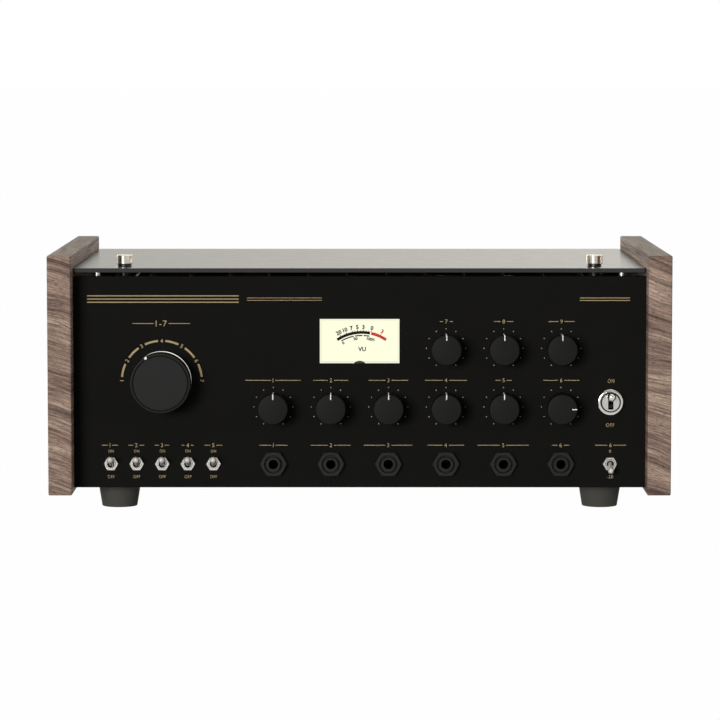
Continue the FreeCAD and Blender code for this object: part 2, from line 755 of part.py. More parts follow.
def make_rail(side):
    """A folded side rail: web, top lip, front lip and rear lip, open below and inwards."""
    outer = both_sides("side_edge - rail_lip", "side_edge")[side]
    inner = both_sides("side_edge - rail_lip - cut_past", "side_edge - sheet_thick")[side]
    label = side + "_rail"
    shell = slab(label + "_shell", outer, ("panel_back", "rear_inner"), ("base_top", "deck_low"))
    hollow = slab(
        label + "_hollow",
        inner,
        ("panel_back + sheet_thick", "rear_inner - sheet_thick"),
        ("base_top - cut_past", "deck_low - sheet_thick"),
    )
    sign = "-" if side == "left" else ""
    across = sign + "lip_across"
    web = sign + "(side_edge + cut_past)"
    through = "sheet_thick + 2 * cut_past"
    inward = RIGHT if side == "left" else LEFT
    holes = []
    for index, along in enumerate(CHEEK_SCREWS):
        hole = f"{label}_cheek_hole_{index}"
        holes.append(bar(hole, SCREW_HOLE, through, web, along, CHEEK_SCREW_Z, inward))
    for index, along in enumerate(DECK_SCREWS):
        hole = f"{label}_deck_hole_{index}"
        holes.append(bar(hole, SCREW_HOLE, through, across, along, "deck_low + cut_past", DOWN))
    for index, height in enumerate(REAR_SCREWS):
        hole = f"{label}_rear_hole_{index}"
        holes.append(bar(hole, SCREW_HOLE, through, across, "rear_inner + cut_past", height, FRONT))
    return less(label, shell, hollow, *holes)


def make_base():
    """The chassis base: a plate with a folded front edge."""
    across = ("-side_edge", "side_edge")
    plate = slab("base_plate", across, ("panel_back", "rear_inner"), ("foot_height", "base_top"))
    lip = slab(
        "base_front_lip",
        ("rail_lip + fit_gap - side_edge", "side_edge - rail_lip - fit_gap"),
        ("panel_back", "panel_back + sheet_thick"),
        ("base_top", "base_top + base_lip"),
    )
    holes = []
    for index, (x, y) in enumerate(FOOT_PLACES):
        low = "foot_height - cut_past"
        holes.append(rod(f"base_hole_{index}", SCREW_HOLE, low, "base_top + cut_past", x, y))
    return node(less("chassis_base", joined("base_sheet", plate, lip), *holes))


def column(index):
    """The place across of one of the six control columns."""
    return f"first_column + {index} * column_pitch"


def toggle_across(index):
    """The place across of one of the five small toggles."""
    return f"mode_across + {index - 2} * toggle_pitch"


KNOB_PLACES = {name: (column(index), "lower_row") for index, name in enumerate(LOWER_KNOBS)}
KNOB_PLACES.update({name: (column(index + 3), "upper_row") for index, name in enumerate(UPPER_KNOBS)})
TOGGLE_PLACES = {name: (toggle_across(index), "jack_row") for index, name in enumerate(SMALL_TOGGLES)}
TOGGLE_PLACES["level"] = ("right_across", "jack_row")
JACK_PLACES = [(column(index), "jack_row") for index in range(len(LOWER_KNOBS))]


def make_front_panel():
    """The front panel, in its own axes: X across, Y up from the chassis, Z out of the face."""
    body = new_body("front_panel")
    across = ("-side_edge", "side_edge")
    face = new_sketch(body, "face")
    rectangle(face, across, ("0", "panel_height"))
    pad(body, face, "panel_thick", reverse=True)
    fold = new_sketch(body, "fold")
    rectangle(fold, across, ("panel_height - panel_thick", "panel_height"))
    pad(body, fold, "fold_depth", reverse=True)
    bend = Vector(0, value("panel_height"), 0)
    round_edges(body, "fold_round", lambda middle: (middle - bend).Length < value("fold_round"))
    cuts = new_sketch(body, "cuts")
    for x, y in KNOB_PLACES.values():
        circle(cuts, "pot_bushing_radius + fit_gap / 2", x, y)
    for x, y in JACK_PLACES:
        circle(cuts, "jack_bushing_radius + fit_gap / 2", x, y)
    for x, y in TOGGLE_PLACES.values():
        circle(cuts, "toggle_bushing_radius + fit_gap / 2", x, y)
    circle(cuts, "mode_bushing_radius + fit_gap / 2", "mode_across", "mode_up")
    circle(cuts, "power_bushing_radius + fit_gap / 2", "right_across", "power_up")
    rectangle(
        cuts,
        ("meter_across - window_wide / 2", "meter_across + window_wide / 2"),
        ("meter_up - window_tall / 2", "meter_up + window_tall / 2"),
    )
    pocket(body, cuts)
    return node(put(body, y="panel_face", z="foot_height", turn=FRONT))


def make_rear_panel():
    """The rear panel with the inlet's cut-out, a field of vent slots and its screw holes."""
    body = new_body("rear_panel")
    face = new_sketch(body, "face", "XZ_Plane")
    rectangle(face, ("-side_edge", "side_edge"), ("foot_height", "panel_top"))
    pad(body, face, "sheet_thick")
    cuts = new_sketch(body, "cuts", "XZ_Plane")
    rectangle(
        cuts,
        ("inlet_across - inlet_wide / 2 - fit_gap", "inlet_across + inlet_wide / 2 + fit_gap"),
        (
            "foot_height + inlet_up - inlet_tall / 2 - fit_gap",
            "foot_height + inlet_up + inlet_tall / 2 + fit_gap",
        ),
    )
    for index in range(VENT_COUNT):
        middle = f"vent_across + {index - (VENT_COUNT - 1) / 2} * vent_pitch"
        rectangle(
            cuts,
            (middle + " - vent_wide / 2", middle + " + vent_wide / 2"),
            ("foot_height + vent_height - vent_tall / 2", "foot_height + vent_height + vent_tall / 2"),
        )
    for height in REAR_SCREWS:
        for across in ("-lip_across", "lip_across"):
            circle(cuts, SCREW_HOLE, across, height)
    for across in ("inlet_across - inlet_screw", "inlet_across + inlet_screw"):
        circle(cuts, SCREW_HOLE, across, "foot_height + inlet_up")
    pocket(body, cuts, reverse=True)
    return node(put(body, y="rear_face"))


def make_cover():
    """The cover plate with its two thumbscrew holes."""
    body = new_body("tape_cover")
    half = "half_inside - cover_side_gap"
    plate = new_sketch(body, "plate", "XY_Plane", "cover_low")
    rectangle(plate, ("-(" + half + ")", half), ("cheek_front + cover_setback", "cheek_rear - cover_tail"))
    pad(body, plate, "cover_thick")
    round_all(body, "cover_round")
    holes = new_sketch(body, "holes", "XY_Plane", "cover_top")
    for across in ("-thumb_across", "thumb_across"):
        circle(holes, "screw_radius + pass_gap", across, "thumb_y")
    pocket(body, holes)
    return node(body)


def make_thumbscrew(side):
    """A thumbscrew with a wide head, a narrower neck and its thread; zero is the cover's top."""
    top = "thumb_neck_height + thumb_head_height"
    profile = [
        ("0", top),
        ("thumb_head_radius - knob_edge", top),
        ("thumb_head_radius", top + " - knob_edge"),
        ("thumb_head_radius", "thumb_neck_height + knob_edge"),
        ("thumb_head_radius - knob_edge", "thumb_neck_height"),
        ("thumb_neck_radius", "thumb_neck_height"),
        ("thumb_neck_radius", "0"),
        ("screw_radius", "0"),
        ("screw_radius", "-(cover_thick + thumb_reach)"),
        ("0", "-(cover_thick + thumb_reach)"),
    ]
    body = turned(side + "_thumbscrew", profile)
    across = "-thumb_across" if side == "left" else "thumb_across"
    return node(put(body, across, "thumb_y", "cover_top"))


def make_spacers():
    """Posts and spacers: under the cover, under the thumbscrews, motor bracket and main board."""
    pieces = []
    for x in ("-standoff_across", "standoff_across"):
        for y in ("standoff_front", "standoff_rear"):
            label = f"cover_post_{len(pieces)}"
            pieces.append(rod(label, "standoff_radius", "deck_top", "cover_low", x, y))
    for side, x in (("left", "-thumb_across"), ("right", "thumb_across")):
        floor = "cover_low - post_bore_depth"
        post = rod(side + "_post_solid", "post_radius", "deck_top", "cover_low", x, "thumb_y")
        bore = rod(side + "_post_bore", "screw_radius + run_gap", floor, "cover_low", x, "thumb_y")
        pieces.append(less(side + "_post", post, bore))
    for x in ("motor_across - bracket_post", "motor_across + bracket_post"):
        for y in ("motor_y - bracket_post", "motor_y + bracket_post"):
            label = f"bracket_spacer_{len(pieces)}"
            pieces.append(rod(label, "standoff_radius", "bracket_top", "deck_low", x, y))
    for x in ("board_left + board_inset", "board_left + board_wide / 2", "board_right - board_inset"):
        for y in ("board_front + board_inset", "board_rear - board_inset"):
            label = f"board_spacer_{len(pieces)}"
            pieces.append(rod(label, "standoff_radius", "base_top", "board_low", x, y))
    return node(group("spacer_posts", *pieces))


def make_feet():
    """Four tapered rubber feet, each with a pocket for its screw."""
    profile = [
        ("foot_pocket_radius", "0"),
        ("foot_base_radius - foot_round", "0"),
        ("foot_base_radius - foot_round * 0.3", "foot_round * 0.3"),
        ("foot_base_radius", "foot_round"),
        ("foot_top_radius", "foot_height"),
        (SCREW_HOLE, "foot_height"),
        (SCREW_HOLE, "foot_pocket_depth"),
        ("foot_pocket_radius", "foot_pocket_depth"),
    ]
    feet = []
    for index, (x, y) in enumerate(FOOT_PLACES):
        feet.append(put(turned(f"foot_{index}", profile), x, y))
        screw(x, y, "foot_pocket_depth", DOWN)
    return node(group("rubber_feet", *feet))


def add_case_screws():
    """Screws of the cheeks, the deck and the rear panel."""
    for along in CHEEK_SCREWS:
        screw("-(side_edge - sheet_thick)", along, CHEEK_SCREW_Z, RIGHT)
        screw("side_edge - sheet_thick", along, CHEEK_SCREW_Z, LEFT)
    for across in ("-lip_across", "lip_across"):
        for along in DECK_SCREWS:
            screw(across, along, "deck_top", UP)
        for height in REAR_SCREWS:
            screw(across, "rear_face", height, BACK)


# ---------------------------------------------------------------- controls

def on_panel(thing, place):
    """Put a piece on the panel's face; its own Z axis points out of the face."""
    x, y = place
    return put(thing, x, "panel_face", "foot_height + " + y, FRONT)


def make_control(label, can_radius, can_depth, bushing_radius, reach, place):
    """A potentiometer or rotary switch: can, bushing, bore for the shaft and three lugs."""
    can = rod(label + "_can", can_radius, f"-(panel_thick + {can_depth})", "-panel_thick")
    bushing = rod(label + "_bushing", bushing_radius, "-panel_thick", reach)
    lugs = []
    for index in (-1, 0, 1):
        lugs.append(slab(
            f"{label}_lug_{index + 1}",
            (f"{index} * lug_pitch - lug_wide / 2", f"{index} * lug_pitch + lug_wide / 2"),
            (f"-({can_radius} + lug_long)", f"-({can_radius} / 2)"),
            (f"-(panel_thick + {can_depth} / 2)", f"lug_thick - (panel_thick + {can_depth} / 2)"),
        ))
    bore = rod(label + "_bore", "shaft_radius + run_gap", "-(panel_thick + shaft_tail + run_gap)", reach)
    return on_panel(less(label, joined(label + "_solid", can, bushing, *lugs), bore), place)


def make_nut(label, flats, thick, bushing_radius, place, seat="0"):
    """A hexagon nut on the panel's face, or on a seat in front of it."""
    top = f"{seat} + {thick}"
    blank = hexagon(label + "_blank", f"{flats} / sqrt(3)", seat, top)
    bore = rod(label + "_bore", bushing_radius + " + run_gap", seat, top)
    return on_panel(less(label, blank, bore), place)


def make_washer(label, radius, thick, bushing_radius, place):
    """A flat washer on the panel's face."""
    disc = rod(label + "_disc", radius, "0", thick)
    bore = rod(label + "_bore", bushing_radius + " + run_gap", "0", thick)
    return on_panel(less(label, disc, bore), place)


def cap_with_mark(label, profile, top, outer, mark_wide, mark_long, angle):
    """A turned knob cap; the recess of its pointer runs out at the edge and is turned clockwise from up."""
    body = turned(label, profile)
    mark = new_sketch(body, "mark", "XY_Plane", top)
    along = (f"{outer} - {mark_long}", f"{outer} + knob_edge")
    rectangle(mark, (f"-{mark_wide} / 2", f"{mark_wide} / 2"), along)
    pocket(body, mark, "pointer_deep")
    return spin(body, f"-({angle})")


def make_knob(name, angle):
    """A control knob: cap and shaft."""
    label = name + "_knob"
    top = "knob_rise + knob_height"
    seat = "knob_rise + knob_hollow_depth"
    shaft_end = top + " - knob_cap_thick"
    profile = [
        ("0", top),
        ("knob_radius - knob_edge", top),
        ("knob_radius", top + " - knob_edge"),
        ("knob_radius", "knob_rise"),
        ("knob_hollow_radius", "knob_rise"),
        ("knob_hollow_radius", seat),
        ("shaft_radius", seat),
        ("shaft_radius", shaft_end),
        ("0", shaft_end),
    ]
    outer = "knob_radius - knob_edge"
    cap = cap_with_mark(label + "_cap", profile, top, outer, "pointer_wide", "pointer_long", angle)
    shaft = rod(label + "_shaft", "shaft_radius", "-(panel_thick + shaft_tail)", shaft_end)
    return node(on_panel(group(label, cap, shaft), KNOB_PLACES[name]))


def make_mode_knob():
    """The large mode knob: face disc, groove, rim and shaft."""
    top = "mode_rise + mode_height"
    floor = top + " - mode_groove_deep"
    groove_out = "mode_groove_radius + mode_groove_wide"
    seat = "mode_rise + mode_hollow_depth"
    shaft_end = top + " - knob_cap_thick"
    profile = [
        ("0", top),
        ("mode_groove_radius", top),
        ("mode_groove_radius", floor),
        (groove_out, floor),
        (groove_out, top),
        ("mode_radius - knob_edge", top),
        ("mode_radius", top + " - knob_edge"),
        ("mode_radius", "mode_rise"),
        ("mode_hollow_radius", "mode_rise"),
        ("mode_hollow_radius", seat),
        ("shaft_radius", seat),
        ("shaft_radius", shaft_end),
        ("0", shaft_end),
    ]
    outer = "mode_radius - knob_edge"
    mark = ("mode_mark_wide", "mode_mark_long", "mode_pointer")
    cap = cap_with_mark("mode_knob_cap", profile, top, outer, *mark)
    shaft = rod("mode_knob_shaft", "shaft_radius", "-(panel_thick + shaft_tail)", shaft_end)
    return node(on_panel(group("mode_knob", cap, shaft), ("mode_across", "mode_up")))


def make_jack(index, place):
    """A jack socket: housing, bushing and the bore for the plug."""
    label = f"jack_{index}"
    housing = centred(
        label + "_housing", ("jack_wide", "jack_tall"), ("-(jack_bore_depth + jack_end_wall)", "-panel_thick")
    )
    bushing = rod(label + "_bushing", "jack_bushing_radius", "-panel_thick", "jack_reach")
    bore = rod(label + "_bore", "jack_bore", "-jack_bore_depth", "jack_reach")
    return on_panel(less(label, joined(label + "_solid", housing, bushing), bore), place)


def make_toggle_switch(name, place):
    """A small toggle switch body with a flared bushing for the lever."""
    label = name + "_switch"
    inside = ("-(panel_thick + toggle_deep)", "-panel_thick")
    housing = centred(label + "_body", ("toggle_wide", "toggle_tall"), inside)
    bushing = rod(label + "_bushing", "toggle_bushing_radius", "-panel_thick", "toggle_reach")
    throat = rod(label + "_throat", "toggle_throat", "-panel_thick", "toggle_pivot")
    mouth = taper(label + "_mouth", "toggle_throat", "toggle_mouth", "toggle_pivot", "toggle_reach")
    return on_panel(less(label, joined(label + "_solid", housing, bushing), throat, mouth), place)


def make_lever(label, kind, place, direction):
    """A bat lever on a pivot barrel, leaning up (1) or down (-1)."""
    neck = f"{kind}_length * 0.3" if kind == "lever" else f"{kind}_length * 0.45"
    root = f"{kind}_root_radius"
    tip = f"{kind}_tip_radius"
    length = f"{kind}_length"
    wide = f"{kind}_barrel_wide"
    barrel = bar(label + "_pivot", f"{kind}_barrel_radius", wide, f"-{wide} / 2", "0", "0", RIGHT)
    solid = joined(
        label,
        barrel,
        rod(label + "_neck", root, "0", neck),
        taper(label + "_bat", root, tip + " * 0.97", neck, length),
        ball(label + "_tip", tip, length),
    )
    pivot = "toggle_pivot" if kind == "lever" else "power_pivot"
    put(solid, place[0], "panel_face - " + pivot, "foot_height + " + place[1], Rotation(Vector(1, 0, 0), 1))
    solid.setExpression("Placement.Rotation.Angle", named(f"90 - {direction} * {kind}_tilt"))
    return node(solid)


def make_power_switch(place):
    """The power switch body: bushing with an upright slot for the lever."""
    housing = centred(
        "power_switch_body", ("power_wide", "power_tall"), ("-(panel_thick + power_deep)", "-panel_thick")
    )
    bushing = rod("power_switch_bushing", "power_bushing_radius", "-panel_thick", "power_reach")
    slot_size = ("power_slot_wide", "power_slot_tall")
    slot = centred("power_switch_slot", slot_size, ("-power_slot_depth", "power_reach"))
    return on_panel(less("power_switch", joined("power_switch_solid", housing, bushing), slot), place)


def make_dress_ring(place):
    """The round nut of the power switch."""
    bore = "power_bushing_radius + run_gap"
    profile = [
        (bore, "0"),
        ("dress_radius", "0"),
        ("dress_radius", "dress_thick - dress_dome"),
        ("dress_radius - dress_dome * 0.3", "dress_thick - dress_dome * 0.3"),
        ("dress_radius - dress_dome", "dress_thick"),
        (bore, "dress_thick"),
    ]
    return node(on_panel(turned("power_ring", profile), place))


def make_controls():
    """Everything on the panel but the meter."""
    switches = []
    nuts = []
    mode_place = ("mode_across", "mode_up")
    for name, place in KNOB_PLACES.items():
        make_knob(name, "echo_pointer" if name == "echo_volume" else "0")
        label = name + "_pot"
        switches.append(
            make_control(label, "pot_radius", "pot_depth", "pot_bushing_radius", "pot_bushing_reach", place)
        )
        nuts.append(make_nut(name + "_nut", "pot_nut_flats", "nut_thick", "pot_bushing_radius", place))
    node(group("potentiometers", *switches))
    make_mode_knob()
    node(make_control(
        "mode_switch",
        "mode_switch_radius",
        "mode_switch_depth",
        "mode_bushing_radius",
        "mode_bushing_reach",
        mode_place,
    ))
    nuts.append(make_nut("mode_nut", "mode_nut_flats", "nut_thick", "mode_bushing_radius", mode_place))
    toggles = []
    for name, place in TOGGLE_PLACES.items():
        toggles.append(make_toggle_switch(name, place))
        label = name + "_toggle_nut"
        nuts.append(make_nut(label, "toggle_nut_flats", "nut_thick", "toggle_bushing_radius", place))
        make_lever(name + "_toggle", "lever", place, -1 if name == "level" else 1)
    power_place = ("right_across", "power_up")
    toggles.append(make_power_switch(power_place))
    make_lever("power_toggle", "power", power_place, 1)
    make_dress_ring(power_place)
    node(group("toggle_switches", *toggles))
    node(group("panel_nuts", *nuts))
    node(group("jack_sockets", *[make_jack(index, place) for index, place in enumerate(JACK_PLACES)]))
    washers = []
    jack_nuts = []
    for index, place in enumerate(JACK_PLACES):
        seat = "jack_washer_thick"
        washers.append(make_washer(
            f"jack_washer_{index}", "jack_washer_radius", seat, "jack_bushing_radius", place
        ))
        label = f"jack_nut_{index}"
        jack_nuts.append(
            make_nut(label, "jack_nut_flats", "jack_nut_thick", "jack_bushing_radius", place, seat)
        )
    node(group("jack_washers", *washers))
    node(group("jack_nuts", *jack_nuts))


# ---------------------------------------------------------------- meter

METER_PLACE = ("meter_across", "meter_up")


def make_meter():
    """The level meter: case with movement, dial, needle and window."""
    across = ("-meter_wide / 2", "meter_wide / 2")
    upward = ("-meter_below", "meter_above")
    inner_across = ("meter_wall - meter_wide / 2", "meter_wide / 2 - meter_wall")
    inner_up = ("meter_wall - meter_below", "meter_above - meter_wall")
    shell = slab("meter_shell", across, upward, ("-(panel_thick + meter_deep)", "-panel_thick"))
    hollow = slab(
        "meter_hollow",
        inner_across,
        inner_up,
        ("meter_wall - (panel_thick + meter_deep)", "-(panel_thick + meter_wall)"),
    )
    opening = centred(
        "meter_opening",
        ("window_wide - 2 * bezel_lap", "window_tall - 2 * bezel_lap"),
        ("-(panel_thick + meter_wall)", "-panel_thick"),
    )
    hub_cover = rod(
        "meter_hub_cover",
        "hub_cover_radius",
        "-(panel_thick + meter_wall)",
        "-panel_thick",
        "0",
        "-(window_tall / 2 + hub_cover_drop)",
    )
    housing = joined("meter_housing", less("meter_frame", shell, hollow, opening), hub_cover)
    pin_at = ("needle_pivot_across", "-needle_pivot_drop")
    pin_bore = "needle_pin_radius + run_gap"
    movement = less(
        "meter_movement",
        slab(
            "movement_block",
            ("needle_pivot_across - movement_radius", "needle_pivot_across + movement_radius"),
            ("meter_wall + fit_gap - meter_below", "movement_radius - needle_pivot_drop"),
            ("dial_back - movement_deep", "dial_back"),
        ),
        rod("movement_bore", pin_bore, "dial_back - needle_pin_long", "dial_back", *pin_at),
    )
    node(on_panel(group("meter_case", housing, movement), METER_PLACE))

    plate = slab(
        "dial_plate",
        (inner_across[0] + " + fit_gap", inner_across[1] + " - fit_gap"),
        (inner_up[0] + " + fit_gap", inner_up[1] + " - fit_gap"),
        ("dial_back", "dial_face"),
    )
    pin_hole = rod("dial_hole", pin_bore, "dial_back", "dial_face", *pin_at)
    node(on_panel(less("meter_dial", plate, pin_hole), METER_PLACE))

    glass = centred(
        "meter_window",
        ("window_wide - 2 * fit_gap", "window_tall - 2 * fit_gap"),
        ("-(window_set + window_thick)", "-window_set"),
    )
    node(put(
        glass,
        "meter_across - window_wide / 2 + fit_gap",
        "panel_face + window_set + window_thick",
        "foot_height + meter_up - window_tall / 2 + fit_gap",
        FRONT,
    ))

    hub_top = "dial_face + dial_set / 2"
    hub = rod("needle_hub", "needle_hub_radius", hub_top + " - 2 * needle_thick", hub_top)
    blade = slab(
        "needle_blade",
        ("-needle_wide / 2", "needle_wide / 2"),
        ("0", "needle_length"),
        (hub_top + " - needle_thick", hub_top),
    )
    pin_end = hub_top + " - needle_thick - dial_set / 2 - needle_pin_long"
    pin = rod("needle_pin", "needle_pin_radius", pin_end, hub_top)
    swung = spin(joined("needle_solid", hub, blade, pin), "-needle_rest")
    needle = group("meter_needle", swung)
    place = ("meter_across + needle_pivot_across", "meter_up - needle_pivot_drop")
    node(on_panel(needle, place))


# ---------------------------------------------------------------- tape transport

def rounded(corners, radii):
    """A closed wire of straight runs and tangent arcs through the corners."""
    arcs = []
    for index, (corner, radius) in enumerate(zip(corners, radii)):
        back = (corners[index - 1] - corner).normalize()
        ahead = (corners[(index + 1) % len(corners)] - corner).normalize()
        half = back.getAngle(ahead) / 2
        reach = radius / math.tan(half)
        inward = (back + ahead).normalize()
        middle = corner + inward * (radius / math.sin(half) - radius)
        arcs.append((corner + back * reach, middle, corner + ahead * reach))
    edges = []
    for index, (start, middle, end) in enumerate(arcs):
        edges.append(Part.Arc(start, middle, end).toShape())
        edges.append(Part.LineSegment(end, arcs[(index + 1) % len(arcs)][0]).toShape())
    return Part.Wire(edges)


def make_tape():
    """The endless tape on edge: along the heads, round the guides and in folds through the bin."""
    left, right, front = value("tape_left"), value("tape_right"), value("tape_y")
    folds = int(value("tape_folds"))
    pitch = (right - left) / folds
    ripple = value("fold_ripple")
    highest = value("bin_rear - bin_wall") - pitch / 4
    lowest = value("bin_front + bin_wall + fold_room")
    corners = [Vector(left, front, 0), Vector(right, front, 0)]
    for index in range(folds):
        if index % 2 == 0:
            turn_y = highest - ripple * (1 + math.sin(1.7 * index)) / 2
        else:
            turn_y = lowest + ripple * math.cos(2.3 * index)
        for step in (index, index + 1):
            corners.append(Vector(right - step * pitch, turn_y, 0))
    corner_radius = value("corner_radius")
    fold_radius = (pitch - value("fold_flat")) / 2
    radii = [corner_radius] * 2 + [fold_radius] * (2 * folds)
    path = rounded(corners, radii)
    thick = value("tape_thick")
    sides = [path.makeOffset2D(thick / 2), path.makeOffset2D(-thick / 2)]
    face = Part.makeFace(sides, "Part::FaceMakerBullseye")
    tape = new("Part::Feature", "tape_loop")
    tape.Shape = face.extrude(Vector(0, 0, value("tape_wide")))
    return node(put(tape, z="tape_low"))


def guide(label, radius, x, y):
    """A tape guide with a flange below and above the tape; zero is the deck's top."""
    flange = radius + " + guide_flange"
    low = "tape_rise - pass_gap"
    high = "tape_rise + tape_wide + pass_gap"
    profile = [
        ("0", "0"),
        (radius, "0"),
        (radius, low + " - guide_flange_thick"),
        (flange, low + " - guide_flange_thick"),
        (flange, low),
        (radius, low),
        (radius, high),
        (flange, high),
        (flange, high + " + guide_flange_thick"),
        (radius, high + " + guide_flange_thick"),
        (radius, "guide_height"),
        ("0", "guide_height"),
    ]
    return put(turned(label, profile), x, y, "deck_top")


def make_guides():
    """Two corner guides and two guides beside the heads."""
    corner_y = "tape_y + corner_radius"
    side_y = "tape_y - tape_play - side_guide_radius"
    return node(group(
        "tape_guides",
        guide("left_corner_guide", "guide_radius", "tape_left + corner_radius", corner_y),
        guide("right_corner_guide", "guide_radius", "tape_right - corner_radius", corner_y),
        guide("left_side_guide", "side_guide_radius", "first_head - side_guide_reach", side_y),
        guide("right_side_guide", "side_guide_radius", "last_head + side_guide_reach", side_y),
    ))


def make_bin():
    """The four walls of the tape bin; the front wall leaves the tape's two ways in and out."""
    upward = ("deck_top", "deck_top + bin_height")
    along = ("bin_front", "bin_rear")
    return node(group(
        "tape_bin",
        slab("bin_left_wall", ("bin_left - bin_wall", "bin_left"), along, upward),
        slab("bin_right_wall", ("bin_right", "bin_right + bin_wall"), along, upward),
        slab("bin_rear_wall", ("bin_left", "bin_right"), ("bin_rear - bin_wall", "bin_rear"), upward),
        slab(
            "bin_front_wall",
            ("tape_left + bin_side", "tape_right - bin_side"),
            ("bin_front", "bin_front + bin_wall"),
            upward,
        ),
    ))


def make_deck():
    """The deck plate with holes for the bearing, the arm's pin and its screws."""
    body = new_body("deck_plate")
    plate = new_sketch(body, "plate", "XY_Plane", "deck_low")
    rectangle(plate, ("-side_edge", "side_edge"), ("panel_back", "rear_inner"))
    pad(body, plate, "sheet_thick")
    holes = new_sketch(body, "holes", "XY_Plane", "deck_top")
    circle(holes, "bearing_radius + fit_gap / 2", "capstan_across", "capstan_y")
    circle(holes, "arm_pin_radius + run_gap", "arm_across", "roller_y")
    for across in ("-lip_across", "lip_across"):
        for along in DECK_SCREWS:
            circle(holes, SCREW_HOLE, across, along)
    for across, along in bridge_screw_places():
        circle(holes, SCREW_HOLE, across, along)
    pocket(body, holes)
    return node(body)


def bridge_screw_places():
    """The head bridge is held by a screw near each front corner."""
    along = "bridge_front + bridge_screw_edge"
    return [("first_head - bridge_margin / 2", along), ("last_head + bridge_margin / 2", along)]


def make_heads():
    """The head bridge and the erase, record and playback heads on it."""
    bridge = slab(
        "bridge_plate",
        ("first_head - bridge_margin", "last_head + bridge_margin"),
        ("bridge_front", "bridge_rear"),
        ("deck_top", "deck_top + bridge_thick"),
    )
    holes = []
    for index, (x, y) in enumerate(bridge_screw_places()):
        over = "deck_top + bridge_thick + cut_past"
        holes.append(rod(f"bridge_hole_{index}", SCREW_HOLE, "deck_top - cut_past", over, x, y))
        screw(x, y, "deck_top + bridge_thick", UP)
    node(less("head_bridge", bridge, *holes))
    heads = []
    upward = ("deck_top + bridge_thick", "deck_top + bridge_thick + head_tall")
    for index in range(HEAD_COUNT):
        middle = f"first_head + {index} * head_pitch"
        nose_y = "head_face - head_wide / 2"
        can = slab(
            f"head_can_{index}",
            (middle + " - head_wide / 2", middle + " + head_wide / 2"),
            ("head_face - head_deep", nose_y),
            upward,
        )
        nose = rod(f"head_nose_{index}", "head_wide / 2", *upward, middle, nose_y)
        heads.append(joined(f"head_{index}", can, nose))
    return node(group("tape_heads", *heads))


def make_capstan():
    """The capstan shaft with its flywheel, and the bearing in the deck; zero is the deck's top."""
    under = "-flywheel_drop - flywheel_thick"
    profile = [
        ("0", "capstan_rise"),
        ("capstan_radius", "capstan_rise"),
        ("capstan_radius", "-flywheel_drop"),
        ("flywheel_radius", "-flywheel_drop"),
        ("flywheel_radius", under),
        ("capstan_radius", under),
        ("capstan_radius", under + " - capstan_tail"),
        ("0", under + " - capstan_tail"),
    ]
    node(put(turned("capstan", profile), "capstan_across", "capstan_y", "deck_top"))
    bore = "capstan_radius + run_gap"
    bearing = [
        (bore, "-bearing_drop"),
        ("bearing_radius", "-bearing_drop"),
        ("bearing_radius", "0"),
        ("bearing_flange", "0"),
        ("bearing_flange", "bearing_flange_thick"),
        (bore, "bearing_flange_thick"),
    ]
    return node(put(turned("capstan_bearing", bearing), "capstan_across", "capstan_y", "deck_top"))


def make_pinch():
    """The pinch arm on its pin, and the rubber roller on the arm's axle."""
    low = "deck_top + arm_rise"
    high = low + " + arm_thick"
    pivot = ("arm_across", "roller_y")
    tip = ("capstan_across", "roller_y")
    sides = ("roller_y - arm_half", "roller_y + arm_half")
    node(joined(
        "pinch_arm",
        slab("arm_strip", ("capstan_across", "arm_across"), sides, (low, high)),
        rod("arm_pivot_end", "arm_half", low, high, *pivot),
        rod("arm_roller_end", "arm_half", low, high, *tip),
        rod("arm_collar", "arm_half", "deck_top + fit_gap", low, *pivot),
        rod("arm_pin", "arm_pin_radius", "deck_top - arm_pin_tail", low, *pivot),
        rod("arm_axle", "roller_axle", high, high + " + roller_tall + 4 * pass_gap", *tip),
    ))
    bore = "roller_axle + run_gap"
    roller = turned(
        "pinch_roller",
        [(bore, "0"), ("roller_radius", "0"), ("roller_radius", "roller_tall"), (bore, "roller_tall")],
    )
    return node(put(roller, *tip, high + " + pass_gap"))


# ---------------------------------------------------------------- drive

def make_motor():
    """The drive motor on its bracket under the deck, and its pulley."""
    top = "bracket_top - bracket_thick"
    at = ("motor_across", "motor_y")
    can = rod("motor_can", "motor_radius", top + " - motor_tall", top, *at)
    bore = rod("motor_bore", "motor_shaft_radius + run_gap", top + " - motor_shaft_seat - run_gap", top, *at)
    node(less("drive_motor", can, bore))
    plate = centred("bracket_plate", ("2 * bracket_half", "2 * bracket_half"), (top, "bracket_top"), *at)
    hole = rod("bracket_opening", "bracket_hole", top, "bracket_top", *at)
    node(less("motor_bracket", plate, hole))
    high = "pulley_tall / 2"
    tail = "bracket_top - bracket_thick - motor_shaft_seat - drive_level"
    profile = [
        ("0", high),
        ("pulley_flange", high),
        ("pulley_flange", high + " - pulley_flange_thick"),
        ("pulley_radius", high + " - pulley_flange_thick"),
        ("pulley_radius", "pulley_flange_thick - pulley_tall / 2"),
        ("pulley_flange", "pulley_flange_thick - pulley_tall / 2"),
        ("pulley_flange", "-pulley_tall / 2"),
        ("motor_shaft_radius", "-pulley_tall / 2"),
        ("motor_shaft_radius", tail),
        ("0", tail),
    ]
    return node(put(turned("motor_pulley", profile), *at, "drive_level"))


